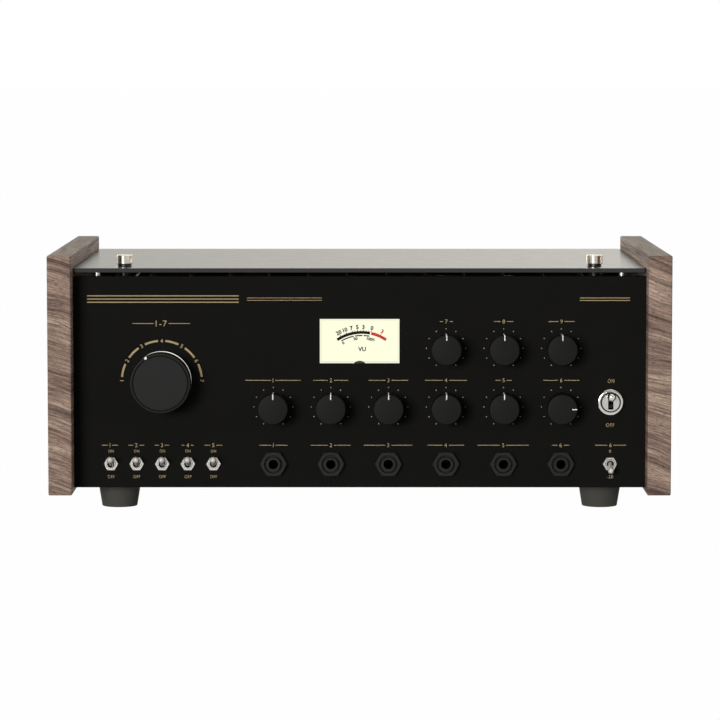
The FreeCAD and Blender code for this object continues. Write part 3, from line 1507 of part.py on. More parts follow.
def band(first, first_radius, second, second_radius):
    """The outline of a band pulled round two wheels."""
    run = second - first
    heading = math.atan2(run.y, run.x)
    spread = math.acos((first_radius - second_radius) / run.Length)

    def rim(centre, radius, angle):
        return centre + Vector(radius * math.cos(angle), radius * math.sin(angle), 0)

    left = heading + spread
    right = heading - spread
    near = [rim(first, first_radius, angle) for angle in (left, heading + math.pi, right)]
    far = [rim(second, second_radius, angle) for angle in (right, heading, left)]
    return Part.Wire([
        Part.Arc(*near).toShape(),
        Part.LineSegment(near[2], far[0]).toShape(),
        Part.Arc(*far).toShape(),
        Part.LineSegment(far[2], near[0]).toShape(),
    ])


def make_belt():
    """The flat drive belt round the flywheel and the pulley."""
    wheel = Vector(value("capstan_across"), value("capstan_y"), 0)
    pulley = Vector(value("motor_across"), value("motor_y"), 0)
    inside = [value("flywheel_radius + pass_gap"), value("pulley_radius + pass_gap")]
    outside = [radius + value("belt_thick") for radius in inside]
    loops = [band(wheel, radii[0], pulley, radii[1]) for radii in (outside, inside)]
    face = Part.makeFace(loops, "Part::FaceMakerBullseye")
    belt = new("Part::Feature", "drive_belt")
    belt.Shape = face.extrude(Vector(0, 0, value("belt_wide")))
    return node(put(belt, z="drive_level - belt_wide / 2"))


# ---------------------------------------------------------------- electronics

def make_board():
    """The main board and the larger parts on it."""
    upward = ("board_low", "board_top")
    node(slab("main_board", ("board_left", "board_right"), ("board_front", "board_rear"), upward))
    pieces = []
    for index in range(4):
        x = f"board_left + (2 + 3 * {index}) * capacitor_radius"
        y = "board_rear - 2 * capacitor_radius"
        high = "board_top + capacitor_tall"
        pieces.append(rod(f"capacitor_{index}", "capacitor_radius", "board_top", high, x, y))
    for index in range(7):
        x = f"board_left + (2 + 3 * {index}) * chip_wide"
        size = ("chip_wide", "chip_long")
        y = "(board_front + board_rear) / 2"
        pieces.append(centred(f"chip_{index}", size, ("board_top", "board_top + chip_tall"), x, y))
    for index in range(3):
        x = f"board_right - (1 + 2 * {index}) * relay_wide"
        y = "board_front + 1.5 * relay_long"
        size = ("relay_wide", "relay_long")
        pieces.append(centred(f"relay_{index}", size, ("board_top", "board_top + relay_tall"), x, y))
    return node(group("board_parts", *pieces))


def make_transformer():
    """The mains transformer: core and coil."""
    at = ("transformer_across", "transformer_y")
    core = centred("transformer_core", ("core_wide", "core_deep"), ("base_top", "base_top + core_tall"), *at)
    low = "base_top + (core_tall - coil_tall) / 2"
    coil = centred("transformer_coil", ("coil_wide", "coil_deep"), (low, low + " + coil_tall"), *at)
    return node(joined("power_transformer", core, coil))


def make_tank():
    """The spring reverb tank: a channel open below, two transducer blocks and three springs."""
    top = "base_top + tank_tall"
    shell = slab("tank_shell", ("tank_left", "tank_right"), ("tank_front", "tank_rear"), ("base_top", top))
    inner_across = ("tank_left + tank_wall", "tank_right - tank_wall")
    inner_along = ("tank_front + tank_wall", "tank_rear - tank_wall")
    hollow = slab("tank_hollow", inner_across, inner_along, ("base_top", top + " - tank_wall"))
    upward = ("base_top", top + " - tank_wall")
    first_across = (inner_across[0], inner_across[0] + " + transducer_wide")
    last_across = (inner_across[1] + " - transducer_wide", inner_across[1])
    first = slab("first_transducer", first_across, inner_along, upward)
    last = slab("last_transducer", last_across, inner_along, upward)
    springs = []
    for index in (-1, 0, 1):
        springs.append(bar(
            f"reverb_spring_{index + 1}",
            "spring_radius",
            "tank_right - tank_left - 2 * tank_wall - 2 * transducer_wide",
            inner_across[0] + " + transducer_wide",
            f"(tank_front + tank_rear) / 2 + {index} * spring_pitch",
            "base_top + tank_tall / 2",
            RIGHT,
        ))
    channel = less("tank_channel", shell, hollow)
    return node(group("reverb_tank", channel, first, last, *springs))


def make_inlet():
    """The mains inlet with its fuse drawer, in the rear panel's axes: X across, Y up, Z inwards."""
    flange = centred(
        "inlet_flange", ("inlet_flange_wide", "inlet_flange_tall"), ("-inlet_flange_thick", "0")
    )
    body = centred("inlet_body", ("inlet_wide", "inlet_tall"), ("0", "sheet_thick + inlet_deep"))
    drawer = centred(
        "inlet_drawer",
        ("drawer_wide", "drawer_tall"),
        ("-(inlet_flange_thick + drawer_proud)", "0"),
        y="drawer_shift",
    )
    floor = "inlet_mouth_deep - inlet_flange_thick"
    mouth = centred(
        "inlet_mouth",
        ("inlet_mouth_wide", "inlet_mouth_tall"),
        ("-inlet_flange_thick", floor),
        y="inlet_mouth_shift",
    )
    holes = []
    blades = []
    for index in (-1, 1):
        holes.append(rod(
            f"inlet_hole_{index + 1}",
            SCREW_HOLE,
            "-(inlet_flange_thick + cut_past)",
            "cut_past",
            f"{index} * inlet_screw",
        ))
        across = f"inlet_across + {index} * inlet_screw"
        screw(across, "rear_face + inlet_flange_thick", "foot_height + inlet_up", BACK)
    for index in (-1, 0, 1):
        rise = "inlet_mouth_shift" if index else "inlet_mouth_shift + inlet_pin_tall"
        blades.append(centred(
            f"inlet_blade_{index + 1}",
            ("inlet_pin_wide", "inlet_pin_tall"),
            (floor + " - inlet_pin_long", floor),
            f"{index} * inlet_pin_pitch",
            rise,
        ))
    shell = less("inlet_shell", joined("inlet_solid", flange, body, drawer), mouth, *holes)
    inlet = joined("mains_inlet", shell, *blades)
    return node(put(inlet, "inlet_across", "rear_face", "foot_height + inlet_up", FRONT))


# ---------------------------------------------------------------- assembly

def check_document():
    """Stop if an object failed, a cut removed nothing or a sub-part isn't sound."""
    for thing in doc.Objects:
        if "Invalid" in thing.State or "Error" in thing.State:
            raise RuntimeError(f"{thing.Label} is {thing.State}")
        if thing.TypeId == "PartDesign::Pocket":
            before = thing.BaseFeature.Shape.Volume
            if before - thing.Shape.Volume < 0.01:
                raise RuntimeError(f"{thing.Label} cuts nothing")
    for thing in nodes:
        if thing.Shape.isNull() or not thing.Shape.isValid():
            raise RuntimeError(f"{thing.Label} has no sound shape")


def export_nodes():
    """Write each sub-part to its own STEP file."""
    os.makedirs("parts", exist_ok=True)
    for thing in nodes:
        thing.Shape.exportStep(f"parts/{thing.Label}.step")


def main():
    """Build the unit from the case inwards, check it and write it."""
    make_cheek("left")
    make_cheek("right")
    make_base()
    node(group("side_rails", make_rail("left"), make_rail("right")))
    make_front_panel()
    make_rear_panel()
    make_cover()
    make_thumbscrew("left")
    make_thumbscrew("right")
    make_spacers()
    make_feet()
    add_case_screws()
    make_controls()
    make_meter()
    make_deck()
    make_tape()
    make_guides()
    make_bin()
    make_heads()
    make_capstan()
    make_pinch()
    make_motor()
    make_belt()
    make_board()
    make_transformer()
    make_tank()
    make_inlet()
    node(group("machine_screws", *screws))
    doc.recompute()
    check_document()
    export_nodes()
    for thing in nodes:
        print(thing.Label, len(thing.Shape.Solids), round(thing.Shape.Volume, 1))
    print(len(nodes), "sub-parts")


main()
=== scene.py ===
"""Looks of a tabletop tape echo unit: its finishes, small hardware and prints.

Lengths are in millimetres until a piece is finished, which turns them to metres. What sits on the
front panel is made on the panel's own axes: X to the right, Y up and Z out of the panel's face.
"""

import json
import logging
import math
from dataclasses import dataclass
from enum import Enum
from typing import Any, Callable, Iterable, Optional, Sequence, Union

import bmesh
import bpy
from mathutils import Matrix, Vector

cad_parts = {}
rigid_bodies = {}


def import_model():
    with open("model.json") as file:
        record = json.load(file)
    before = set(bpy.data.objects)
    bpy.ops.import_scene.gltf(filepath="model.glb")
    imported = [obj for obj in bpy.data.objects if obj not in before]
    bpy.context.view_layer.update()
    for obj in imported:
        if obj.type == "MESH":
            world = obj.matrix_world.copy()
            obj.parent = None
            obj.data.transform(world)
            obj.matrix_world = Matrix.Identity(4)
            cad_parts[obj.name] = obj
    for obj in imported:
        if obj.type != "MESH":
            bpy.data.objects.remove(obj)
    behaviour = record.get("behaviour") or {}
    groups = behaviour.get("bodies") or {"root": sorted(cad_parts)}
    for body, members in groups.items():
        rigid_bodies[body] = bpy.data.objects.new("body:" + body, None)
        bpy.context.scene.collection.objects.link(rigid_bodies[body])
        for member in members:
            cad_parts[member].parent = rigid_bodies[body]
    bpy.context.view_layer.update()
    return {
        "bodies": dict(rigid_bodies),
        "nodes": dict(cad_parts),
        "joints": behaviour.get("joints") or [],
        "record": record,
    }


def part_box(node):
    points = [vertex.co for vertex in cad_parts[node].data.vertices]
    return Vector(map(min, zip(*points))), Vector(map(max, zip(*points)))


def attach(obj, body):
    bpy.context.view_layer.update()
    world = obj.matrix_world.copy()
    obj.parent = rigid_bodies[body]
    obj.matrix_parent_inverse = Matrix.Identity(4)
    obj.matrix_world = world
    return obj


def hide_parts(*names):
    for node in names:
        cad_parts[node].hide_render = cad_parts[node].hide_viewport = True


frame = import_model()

LOG = logging.getLogger("tape_echo")
MM = 0.001
# Thickness of a layer of ink.
INK = 0.05
# Distance within which points of a shape count as one, and slack of finding one by its place.
TOUCH = 1e-4
NEAR = 1e-3
# A facet belongs to a turned side if its middle is within this of the side's radius.
SIDE = 0.2
# A face looks along Z where at least this much of its normal does.
ALONG = 0.95
# Width of a band of Blender's wave pattern at scale 1.
WAVE = 0.314
HERE = Matrix.Identity(4)
Inputs = dict[Union[int, str], Any]
Profile = Sequence[tuple[float, float]]
Shape = bmesh.types.BMesh
Sizes = tuple[float, float, float]
Tree = bpy.types.NodeTree


# ---------------------------------------------------------------- colours and shader nodes

# The part of a noise's range that most of its values lie in, as inputs of a map range.
NOISE_SPAN = {1: 0.3, 2: 0.7}


def hex_colour(code: str) -> tuple[float, float, float, float]:
    """Turn an sRGB hex value into the linear colour that shaders take.

    Args:
        code: Six hex digits after a hash sign.

    Returns:
        Red, green, blue and alpha.
    """
    channels = [int(code[start : start + 2], 16) / 255 for start in (1, 3, 5)]
    linear = [c / 12.92 if c <= 0.04045 else ((c + 0.055) / 1.055) ** 2.4 for c in channels]
    return (*linear, 1.0)


def per_size(sizes: Iterable[float]) -> tuple[float, ...]:
    """Texture scales for features of some sizes in millimetres."""
    return tuple(1 / (size * MM) for size in sizes)


def wire(tree: Tree, node: bpy.types.Node, inputs: Inputs) -> None:
    """Set a node's inputs.

    Args:
        tree: The tree that holds it.
        node: The node.
        inputs: For each input, its value, its hex colour or what feeds it: an output, or the node
            whose first output it is.
    """
    for key, value in inputs.items():
        if isinstance(value, bpy.types.Node):
            value = value.outputs[0]
        if isinstance(value, bpy.types.NodeSocket):
            tree.links.new(value, node.inputs[key])
        else:
            node.inputs[key].default_value = hex_colour(value) if isinstance(value, str) else value


def add_node(
    tree: Tree,
    kind: str,
    inputs: Optional[Inputs] = None,
    stops: Sequence[tuple[float, str]] = (),
    **settings: Any,
) -> bpy.types.Node:
    """Add a shader node with its settings and links.

    Args:
        tree: Node tree of a material or of the world.
        kind: Blender's type name of the node, after "ShaderNode".
        inputs: Its inputs, as wire takes them.
        stops: Position and hex colour of each stop, on a colour ramp.
        **settings: The node's own properties.

    Returns:
        The new node.
    """
    node = tree.nodes.new("ShaderNode" + kind)
    for name, value in settings.items():
        setattr(node, name, value)
    wire(tree, node, inputs or {})
    for index, (position, code) in enumerate(stops):
        ramp = node.color_ramp.elements
        stop = ramp[index] if index < len(ramp) else ramp.new(position)
        stop.position = position
        stop.color = hex_colour(code)
    return node


def empty_tree(owner: Union[bpy.types.Material, bpy.types.World]) -> Tree:
    """Turn on the nodes of a material or a world and clear them away."""
    owner.use_nodes = True
    owner.node_tree.nodes.clear()
    return owner.node_tree


def in_scene(name: str, data: bpy.types.ID) -> bpy.types.Object:
    """Put data into the scene as an object."""
    thing = bpy.data.objects.new(name, data)
    bpy.context.scene.collection.objects.link(thing)
    return thing


# ---------------------------------------------------------------- finishes

@dataclass(frozen=True)
class Finish:
    """A surface finish. Each kind draws its own pattern into a principled shader."""

    name: str

    def draw(self, tree: Tree, place: bpy.types.NodeSocket) -> Inputs:
        """Draw the pattern.

        Args:
            tree: The material's node tree.
            place: Output with the object's own coordinates.

        Returns:
            The inputs of the principled shader.
        """
        raise NotImplementedError

    def material(self) -> bpy.types.Material:
        """Build the material the first time it is asked for, and keep it."""
        known = bpy.data.materials.get(self.name)
        if known:
            return known
        material = bpy.data.materials.new(self.name)
        tree = empty_tree(material)
        shader = add_node(tree, "BsdfPrincipled")
        add_node(tree, "OutputMaterial", {"Surface": shader})
        wire(tree, shader, self.draw(tree, add_node(tree, "TexCoord").outputs["Object"]))
        return material


@dataclass(frozen=True)
class GrainedFinish(Finish):
    """A soft mottle of colour under a fine grain that breaks up the gloss.

    Attributes:
        pale: Hex colour at one end of the mottle.
        dark: Hex colour at the other end.
        gloss: Lowest and highest roughness.
        metallic: 1 for bare or plated metal.
        specular: Specular level of paint or plastic.
        mottle: Size of the mottle's patches.
        grain: Size of one grain.
        relief: Height of the grain.
        lay: How much finer the grain is along X, Y and Z; small values stretch it into strokes.
    """

    pale: str
    dark: str
    gloss: tuple[float, float]
    metallic: float = 0.0
    specular: float = 0.5
    mottle: float = 25.0
    grain: float = 0.5
    relief: float = 0.01
    lay: Sizes = (1.0, 1.0, 1.0)

    def draw(self, tree: Tree, place: bpy.types.NodeSocket) -> Inputs:
        """Mix the two colours over the mottle, and take gloss and relief from the grain."""
        patch, size = per_size((self.mottle, self.grain))
        mottle = add_node(tree, "TexNoise", {"Vector": place, "Scale": patch, "Detail": 3.0})
        along = add_node(tree, "Mapping", {"Vector": place, "Scale": self.lay})
        grain = add_node(tree, "TexNoise", {"Vector": along, "Scale": size, "Detail": 2.0})
        colour = add_node(tree, "Mix", {0: mottle, 6: self.pale, 7: self.dark}, data_type="RGBA")
        low, high = self.gloss
        gloss = add_node(tree, "MapRange", {"Value": grain, **NOISE_SPAN, 3: low, 4: high})
        relief = {"Height": grain, "Distance": self.relief * MM, "Strength": 1.0}
        return {
            "Base Color": colour.outputs[2], "Roughness": gloss,
            "Normal": add_node(tree, "Bump", relief), "Metallic": self.metallic,
            "Specular IOR Level": self.specular,
        }


@dataclass(frozen=True)
class OiledWalnut(Finish):
    """Walnut, sawn from one board, sanded and oiled: figure, streaks and open pores in depth.

    Attributes:
        slope: Fall of the growth layers to the right, in degrees.
        dip: Fall of the layers to the back, in degrees.
        figure: Size of the broad bands across, along and through the layers.
        streak: Size of the fine streaks, in the same order.
        pore: Size of a pore, in the same order.
        bend: Distance over which the layers wander, in the same order.
        sway: How far they wander.
        tones: Position and hex colour of each tone of the figure.
        shades: Brightness of the darkest and of the palest streak.
        pore_shade: Brightness inside a pore.
        relief: Depth of the pores.
        gloss: Roughness of the dark and of the pale streaks.
        specular: Specular level of the oil.
        top_sheen: How far the tops are painted an even grey, which stands in for the oil's sheen.
        top_sheen_colour: Hex colour of that painted sheen.
    """

    slope: float = 17.0
    dip: float = 0.4
    figure: Sizes = (60.0, 260.0, 6.0)
    streak: Sizes = (24.0, 90.0, 0.85)
    pore: Sizes = (3.5, 25.0, 0.42)
    bend: Sizes = (70.0, 320.0, 70.0)
    sway: float = 8.0
    tones: Sequence[tuple[float, str]] = ((0.3, "#67564e"), (0.62, "#ae9788"), (0.46, "#91796e"))
    shades: tuple[float, float] = (0.45, 1.37)
    pore_shade: float = 0.5
    relief: float = 0.06
    gloss: tuple[float, float] = (0.62, 0.48)
    specular: float = 0.15
    top_sheen: float = 0.75
    top_sheen_colour: str = "#756d65"

    def draw(self, tree: Tree, place: bpy.types.NodeSocket) -> Inputs:
        """Lay the figure, the streaks and the pores over each other, and paint the oil's sheen on
        the tops.
        """
        fall = (math.radians(self.dip), math.radians(-self.slope), 0.0)
        turned = add_node(tree, "Mapping", {"Vector": place, "Rotation": fall})
        drawn_out = add_node(tree, "Mapping", {"Vector": turned, "Scale": per_size(self.bend)})
        wander = add_node(tree, "TexNoise", {"Vector": drawn_out, "Scale": 1.0, "Detail": 2.0})
        sway = {1: 0.0, 2: 1.0, 3: -self.sway * MM, 4: self.sway * MM}
        shift = add_node(tree, "MapRange", {"Value": wander, **sway})
        lift = add_node(tree, "CombineXYZ", {"Z": shift})
        layers = add_node(tree, "VectorMath", {0: turned, 1: lift}, operation="ADD")
        fields = []
        for size, detail in ((self.figure, 4.0), (self.streak, 3.0), (self.pore, 1.0)):
            scaled = add_node(tree, "Mapping", {"Vector": layers, "Scale": per_size(size)})
            noise = {"Vector": scaled, "Scale": 1.0, "Detail": detail}
            fields.append(add_node(tree, "TexNoise", noise))
        figure, streak, pore = fields
        tone = add_node(tree, "ValToRGB", {"Fac": figure}, stops=self.tones)
        low, high = self.shades
        streaks = {1: 0.33, 2: 0.67, 3: low, 4: high}
        depth = add_node(tree, "MapRange", {"Value": streak, **streaks})
        pores = {1: 0.54, 2: 0.64, 3: 1.0, 4: self.pore_shade}
        open_pore = add_node(tree, "MapRange", {"Value": pore, **pores})
        shade = add_node(tree, "Math", {0: depth, 1: open_pore}, operation="MULTIPLY")
        wood = add_node(tree, "VectorMath", {0: tone, "Scale": shade}, operation="SCALE")
        # Painted sheen: faces that look up are mixed towards an even grey, as the oil's sheen at a
        # slant.
        normal = add_node(tree, "NewGeometry").outputs["True Normal"]
        upright = add_node(tree, "SeparateXYZ", {0: normal}).outputs["Z"]
        level = {1: 0.7, 2: 0.95, 3: 0.0, 4: self.top_sheen}
        sheen_on_top = add_node(tree, "MapRange", {"Value": upright, **level})
        face = add_node(tree, "Mix", {0: sheen_on_top, 6: wood, 7: self.top_sheen_colour}, data_type="RGBA")
        dull, shiny = self.gloss
        gloss = add_node(tree, "MapRange", {"Value": streak, **NOISE_SPAN, 3: dull, 4: shiny})
        relief = {"Height": shade, "Distance": self.relief * MM, "Strength": 1.0}
        return {
            "Base Color": face.outputs[2], "Roughness": gloss,
            "Normal": add_node(tree, "Bump", relief), "Specular IOR Level": self.specular,
        }


@dataclass(frozen=True)
class LitCard(Finish):
    """Printed card or moulding with a lamp behind it, which shines evenly through it.

    Attributes:
        colour: Hex colour of the light that comes through it.
        glow: Strength of the lamp behind it.
        paper: Hex colour that it adds by reflecting the room.
        thin: Hex colour of the light where its fibres lie thin.
        fibre: Size of the card's fibres.
    """

    colour: str = "#fefee2"
    glow: float = 1.08
    paper: str = "#35342c"
    thin: str = "#fbfbdc"
    fibre: float = 0.6

    def draw(self, tree: Tree, place: bpy.types.NodeSocket) -> Inputs:
        """Tint the card a little over its fibres, and light it from behind."""
        size, = per_size((self.fibre,))
        fibres = add_node(tree, "TexNoise", {"Vector": place, "Scale": size, "Detail": 2.0})
        light = add_node(tree, "Mix", {0: fibres, 6: self.colour, 7: self.thin}, data_type="RGBA")
        return {
            "Emission Color": light.outputs[2], "Emission Strength": self.glow,
            "Base Color": self.paper, "Specular IOR Level": 0.1, "Roughness": 0.7,
        }


@dataclass(frozen=True)
class ClearPane(Finish):
    """Polished clear acrylic: it shows what lies behind it under a thin gloss."""

    tint: str = "#050505"
    wipe: float = 9.0
    gloss: tuple[float, float] = (0.02, 0.06)
    opacity: float = 0.04

    def wiped(self, tree: Tree, place: bpy.types.NodeSocket) -> bpy.types.Node:
        """Break the gloss up with faint wipe marks."""
        size, = per_size((self.wipe,))
        wipes = add_node(tree, "TexNoise", {"Vector": place, "Scale": size, "Detail": 3.0})
        low, high = self.gloss
        return add_node(tree, "MapRange", {"Value": wipes, **NOISE_SPAN, 3: low, 4: high})

    def draw(self, tree: Tree, place: bpy.types.NodeSocket) -> Inputs:
        """Let the light through under the wiped gloss."""
        gloss = self.wiped(tree, place)
        return {"Roughness": gloss, "Base Color": self.tint, "Alpha": self.opacity}


@dataclass(frozen=True)
class SmokedSheet(ClearPane):
    """Cast acrylic, smoked: clear when seen square on, dark and shiny at a slant.

    Light that crosses the sheet at a slant goes through more of the tint, and through its edge it
    never gets out, so both look solid.

    Attributes:
        polish: How much the roughness changes at the flame polished edges.
        opacity: Opacity of one face seen square on.
        mirror: Reflection of one face seen square on, and at the slant where it looks solid.
        index: Refractive index.
        edge_below: A face whose normal is less upright than this is an edge.
    """

    tint: str = "#0a0a0b"
    wipe: float = 12.0
    gloss: tuple[float, float] = (0.24, 0.26)
    opacity: float = 0.25
    polish: float = -0.12
    mirror: tuple[float, float] = (0.04, 0.12)
    index: float = 1.49
    edge_below: float = 0.8

    def draw(self, tree: Tree, place: bpy.types.NodeSocket) -> Inputs:
        """Raise the opacity towards a slant and at the edges, under the wiped gloss."""
        gloss = self.wiped(tree, place)
        slant = add_node(tree, "Fresnel", {"IOR": self.index})
        low, high = self.mirror
        seen = {"Value": slant, 1: low, 2: high, 3: self.opacity, 4: 1.0}
        opacity = add_node(tree, "MapRange", seen)
        normal = add_node(tree, "NewGeometry").outputs["True Normal"]
        upright = add_node(tree, "SeparateXYZ", {0: normal}).outputs["Z"]
        level = add_node(tree, "Math", {0: upright}, operation="ABSOLUTE")
        standing = {0: level, 1: self.edge_below}
        edge = add_node(tree, "Math", standing, operation="LESS_THAN")
        solid = add_node(tree, "Math", {0: opacity, 1: edge}, operation="MAXIMUM")
        change = {0: edge, 1: self.polish, 2: gloss}
        polish = add_node(tree, "Math", change, operation="MULTIPLY_ADD")
        return {"Alpha": solid, "Roughness": polish, "Base Color": self.tint}


@dataclass(frozen=True)
class SolderMask(Finish):
    """A circuit board: green lacquer over copper tracks."""

    def draw(self, tree: Tree, place: bpy.types.NodeSocket) -> Inputs:
        """Show the tracks as a paler green that stands a little proud."""
        lacquer = {"Color1": "#1c4a2e", "Color2": "#18402a", "Mortar": "#3c7a4c"}
        grid = {"Mortar Size": 0.3 * MM, "Brick Width": 14 * MM, "Row Height": 2.5 * MM}
        pattern = {"Vector": place, "Scale": 1.0, **lacquer, **grid}
        tracks = add_node(tree, "TexBrick", pattern).outputs
        relief = {"Height": tracks["Fac"], "Distance": 0.05 * MM, "Strength": 1.0}
        bump = add_node(tree, "Bump", relief)
        return {"Base Color": tracks["Color"], "Normal": bump, "Roughness": 0.3}


@dataclass(frozen=True)
class LaminatedSteel(Finish):
    """Stamped sheets of transformer steel, stacked and dipped in brown varnish."""

    sheet: float = 1.0

    def draw(self, tree: Tree, place: bpy.types.NodeSocket) -> Inputs:
        """Draw the edges of the sheets as bands, coarser than the real half millimetre."""
        stack = {"Scale": WAVE / (self.sheet * MM), "Distortion": 0.4, "Detail": 1.0}
        bands = add_node(
            tree, "TexWave", {"Vector": place, **stack}, wave_type="BANDS", bands_direction="Y"
        ).outputs["Fac"]
        colour = add_node(tree, "Mix", {0: bands, 6: "#2c2621", 7: "#51463a"}, data_type="RGBA")
        bump = add_node(tree, "Bump", {"Height": bands, "Distance": 0.1 * MM, "Strength": 1.0})
        return {"Base Color": colour.outputs[2], "Normal": bump, "Roughness": 0.42}


# The nickel on turned brass, polished on the knurled heads: warm and almost white.
POLISHED_NICKEL = GrainedFinish(
    "polished_nickel_plate", "#d0c9bd", "#c5bdb0", (0.12, 0.2), 1.0,
    mottle=4.0, grain=0.3, relief=0.002,
)
# Satin nickel: the levers keep a soft warm grey with no sharp reflections.
LEVER_NICKEL = GrainedFinish(
    "satin_nickel_plate", "#cfcdc9", "#c5c3bf", (0.4, 0.5), 0.3,
    mottle=4.0, grain=0.3, relief=0.002,
)
# Chrome plate: cool, and as sharp as a mirror.
CHROME = GrainedFinish(
    "polished_chrome_plate", "#cdccc9", "#c4c3c0", (0.08, 0.14), 1.0, mottle=6.0, relief=0.001
)
# Near black steel with an oiled skin, on the thumbscrews' necks and threads. The same black is
# painted shade in the toggles' bores, deep in the power switch and at its lever's pivot, in the
# dress ring's groove and on the posts in the gap under the cover.
BLACK_STEEL_AND_SHADE = GrainedFinish(
    "black_steel_and_painted_shade", "#141413", "#0e0e0e", (0.3, 0.4), specular=0.4, grain=0.3, relief=0.004
)
# Aluminium, turned and polished: the chamfer of the mode knob's skirt flashes white.
TURNED_ALUMINIUM = GrainedFinish(
    "turned_aluminium", "#f2f2f0", "#e8e8e6", (0.22, 0.32), 1.0,
    mottle=6.0, grain=0.3, relief=0.002,
)
# Phenolic knobs: black with a matt skin from the tool.
KNOB_PHENOLIC = GrainedFinish(
    "moulded_phenolic", "#1d1d1d", "#191919", (0.42, 0.52), specular=0.06, grain=0.3, relief=0.004
)
# The mode knob's face: the same moulding, a shade paler with dust and wear.
MODE_FACE = GrainedFinish(
    "worn_phenolic", "#252626", "#1f2020", (0.42, 0.52), specular=0.08, mottle=40.0,
    grain=0.3, relief=0.004,
)
# The knobs' sides and all but their faces: the same moulding, painted darker than the faces as
# shade, dead black between the ribs.
SHADED_SIDE_PHENOLIC = GrainedFinish(
    "phenolic_with_painted_shade", "#0e0e0e", "#0a0a0a", (0.5, 0.62), specular=0.1, grain=0.3, relief=0.004
)
# The rim round the card is a solid white moulding, and shines a little brighter than the card.
METER_RIM = LitCard("backlit_white_abs", "#fffff0", 1.02)
# The same moulding where its step shades the lamp.
METER_SHADE = LitCard("shaded_white_abs", "#d0d4ae", 1.0)
# The cover over the needle's pivot: olive grey, dull against the lit card.
PIVOT_COVER = GrainedFinish(
    "moulded_olive_abs", "#4a4a40", "#3e3e35", (0.5, 0.6), specular=0.1, relief=0.004
)

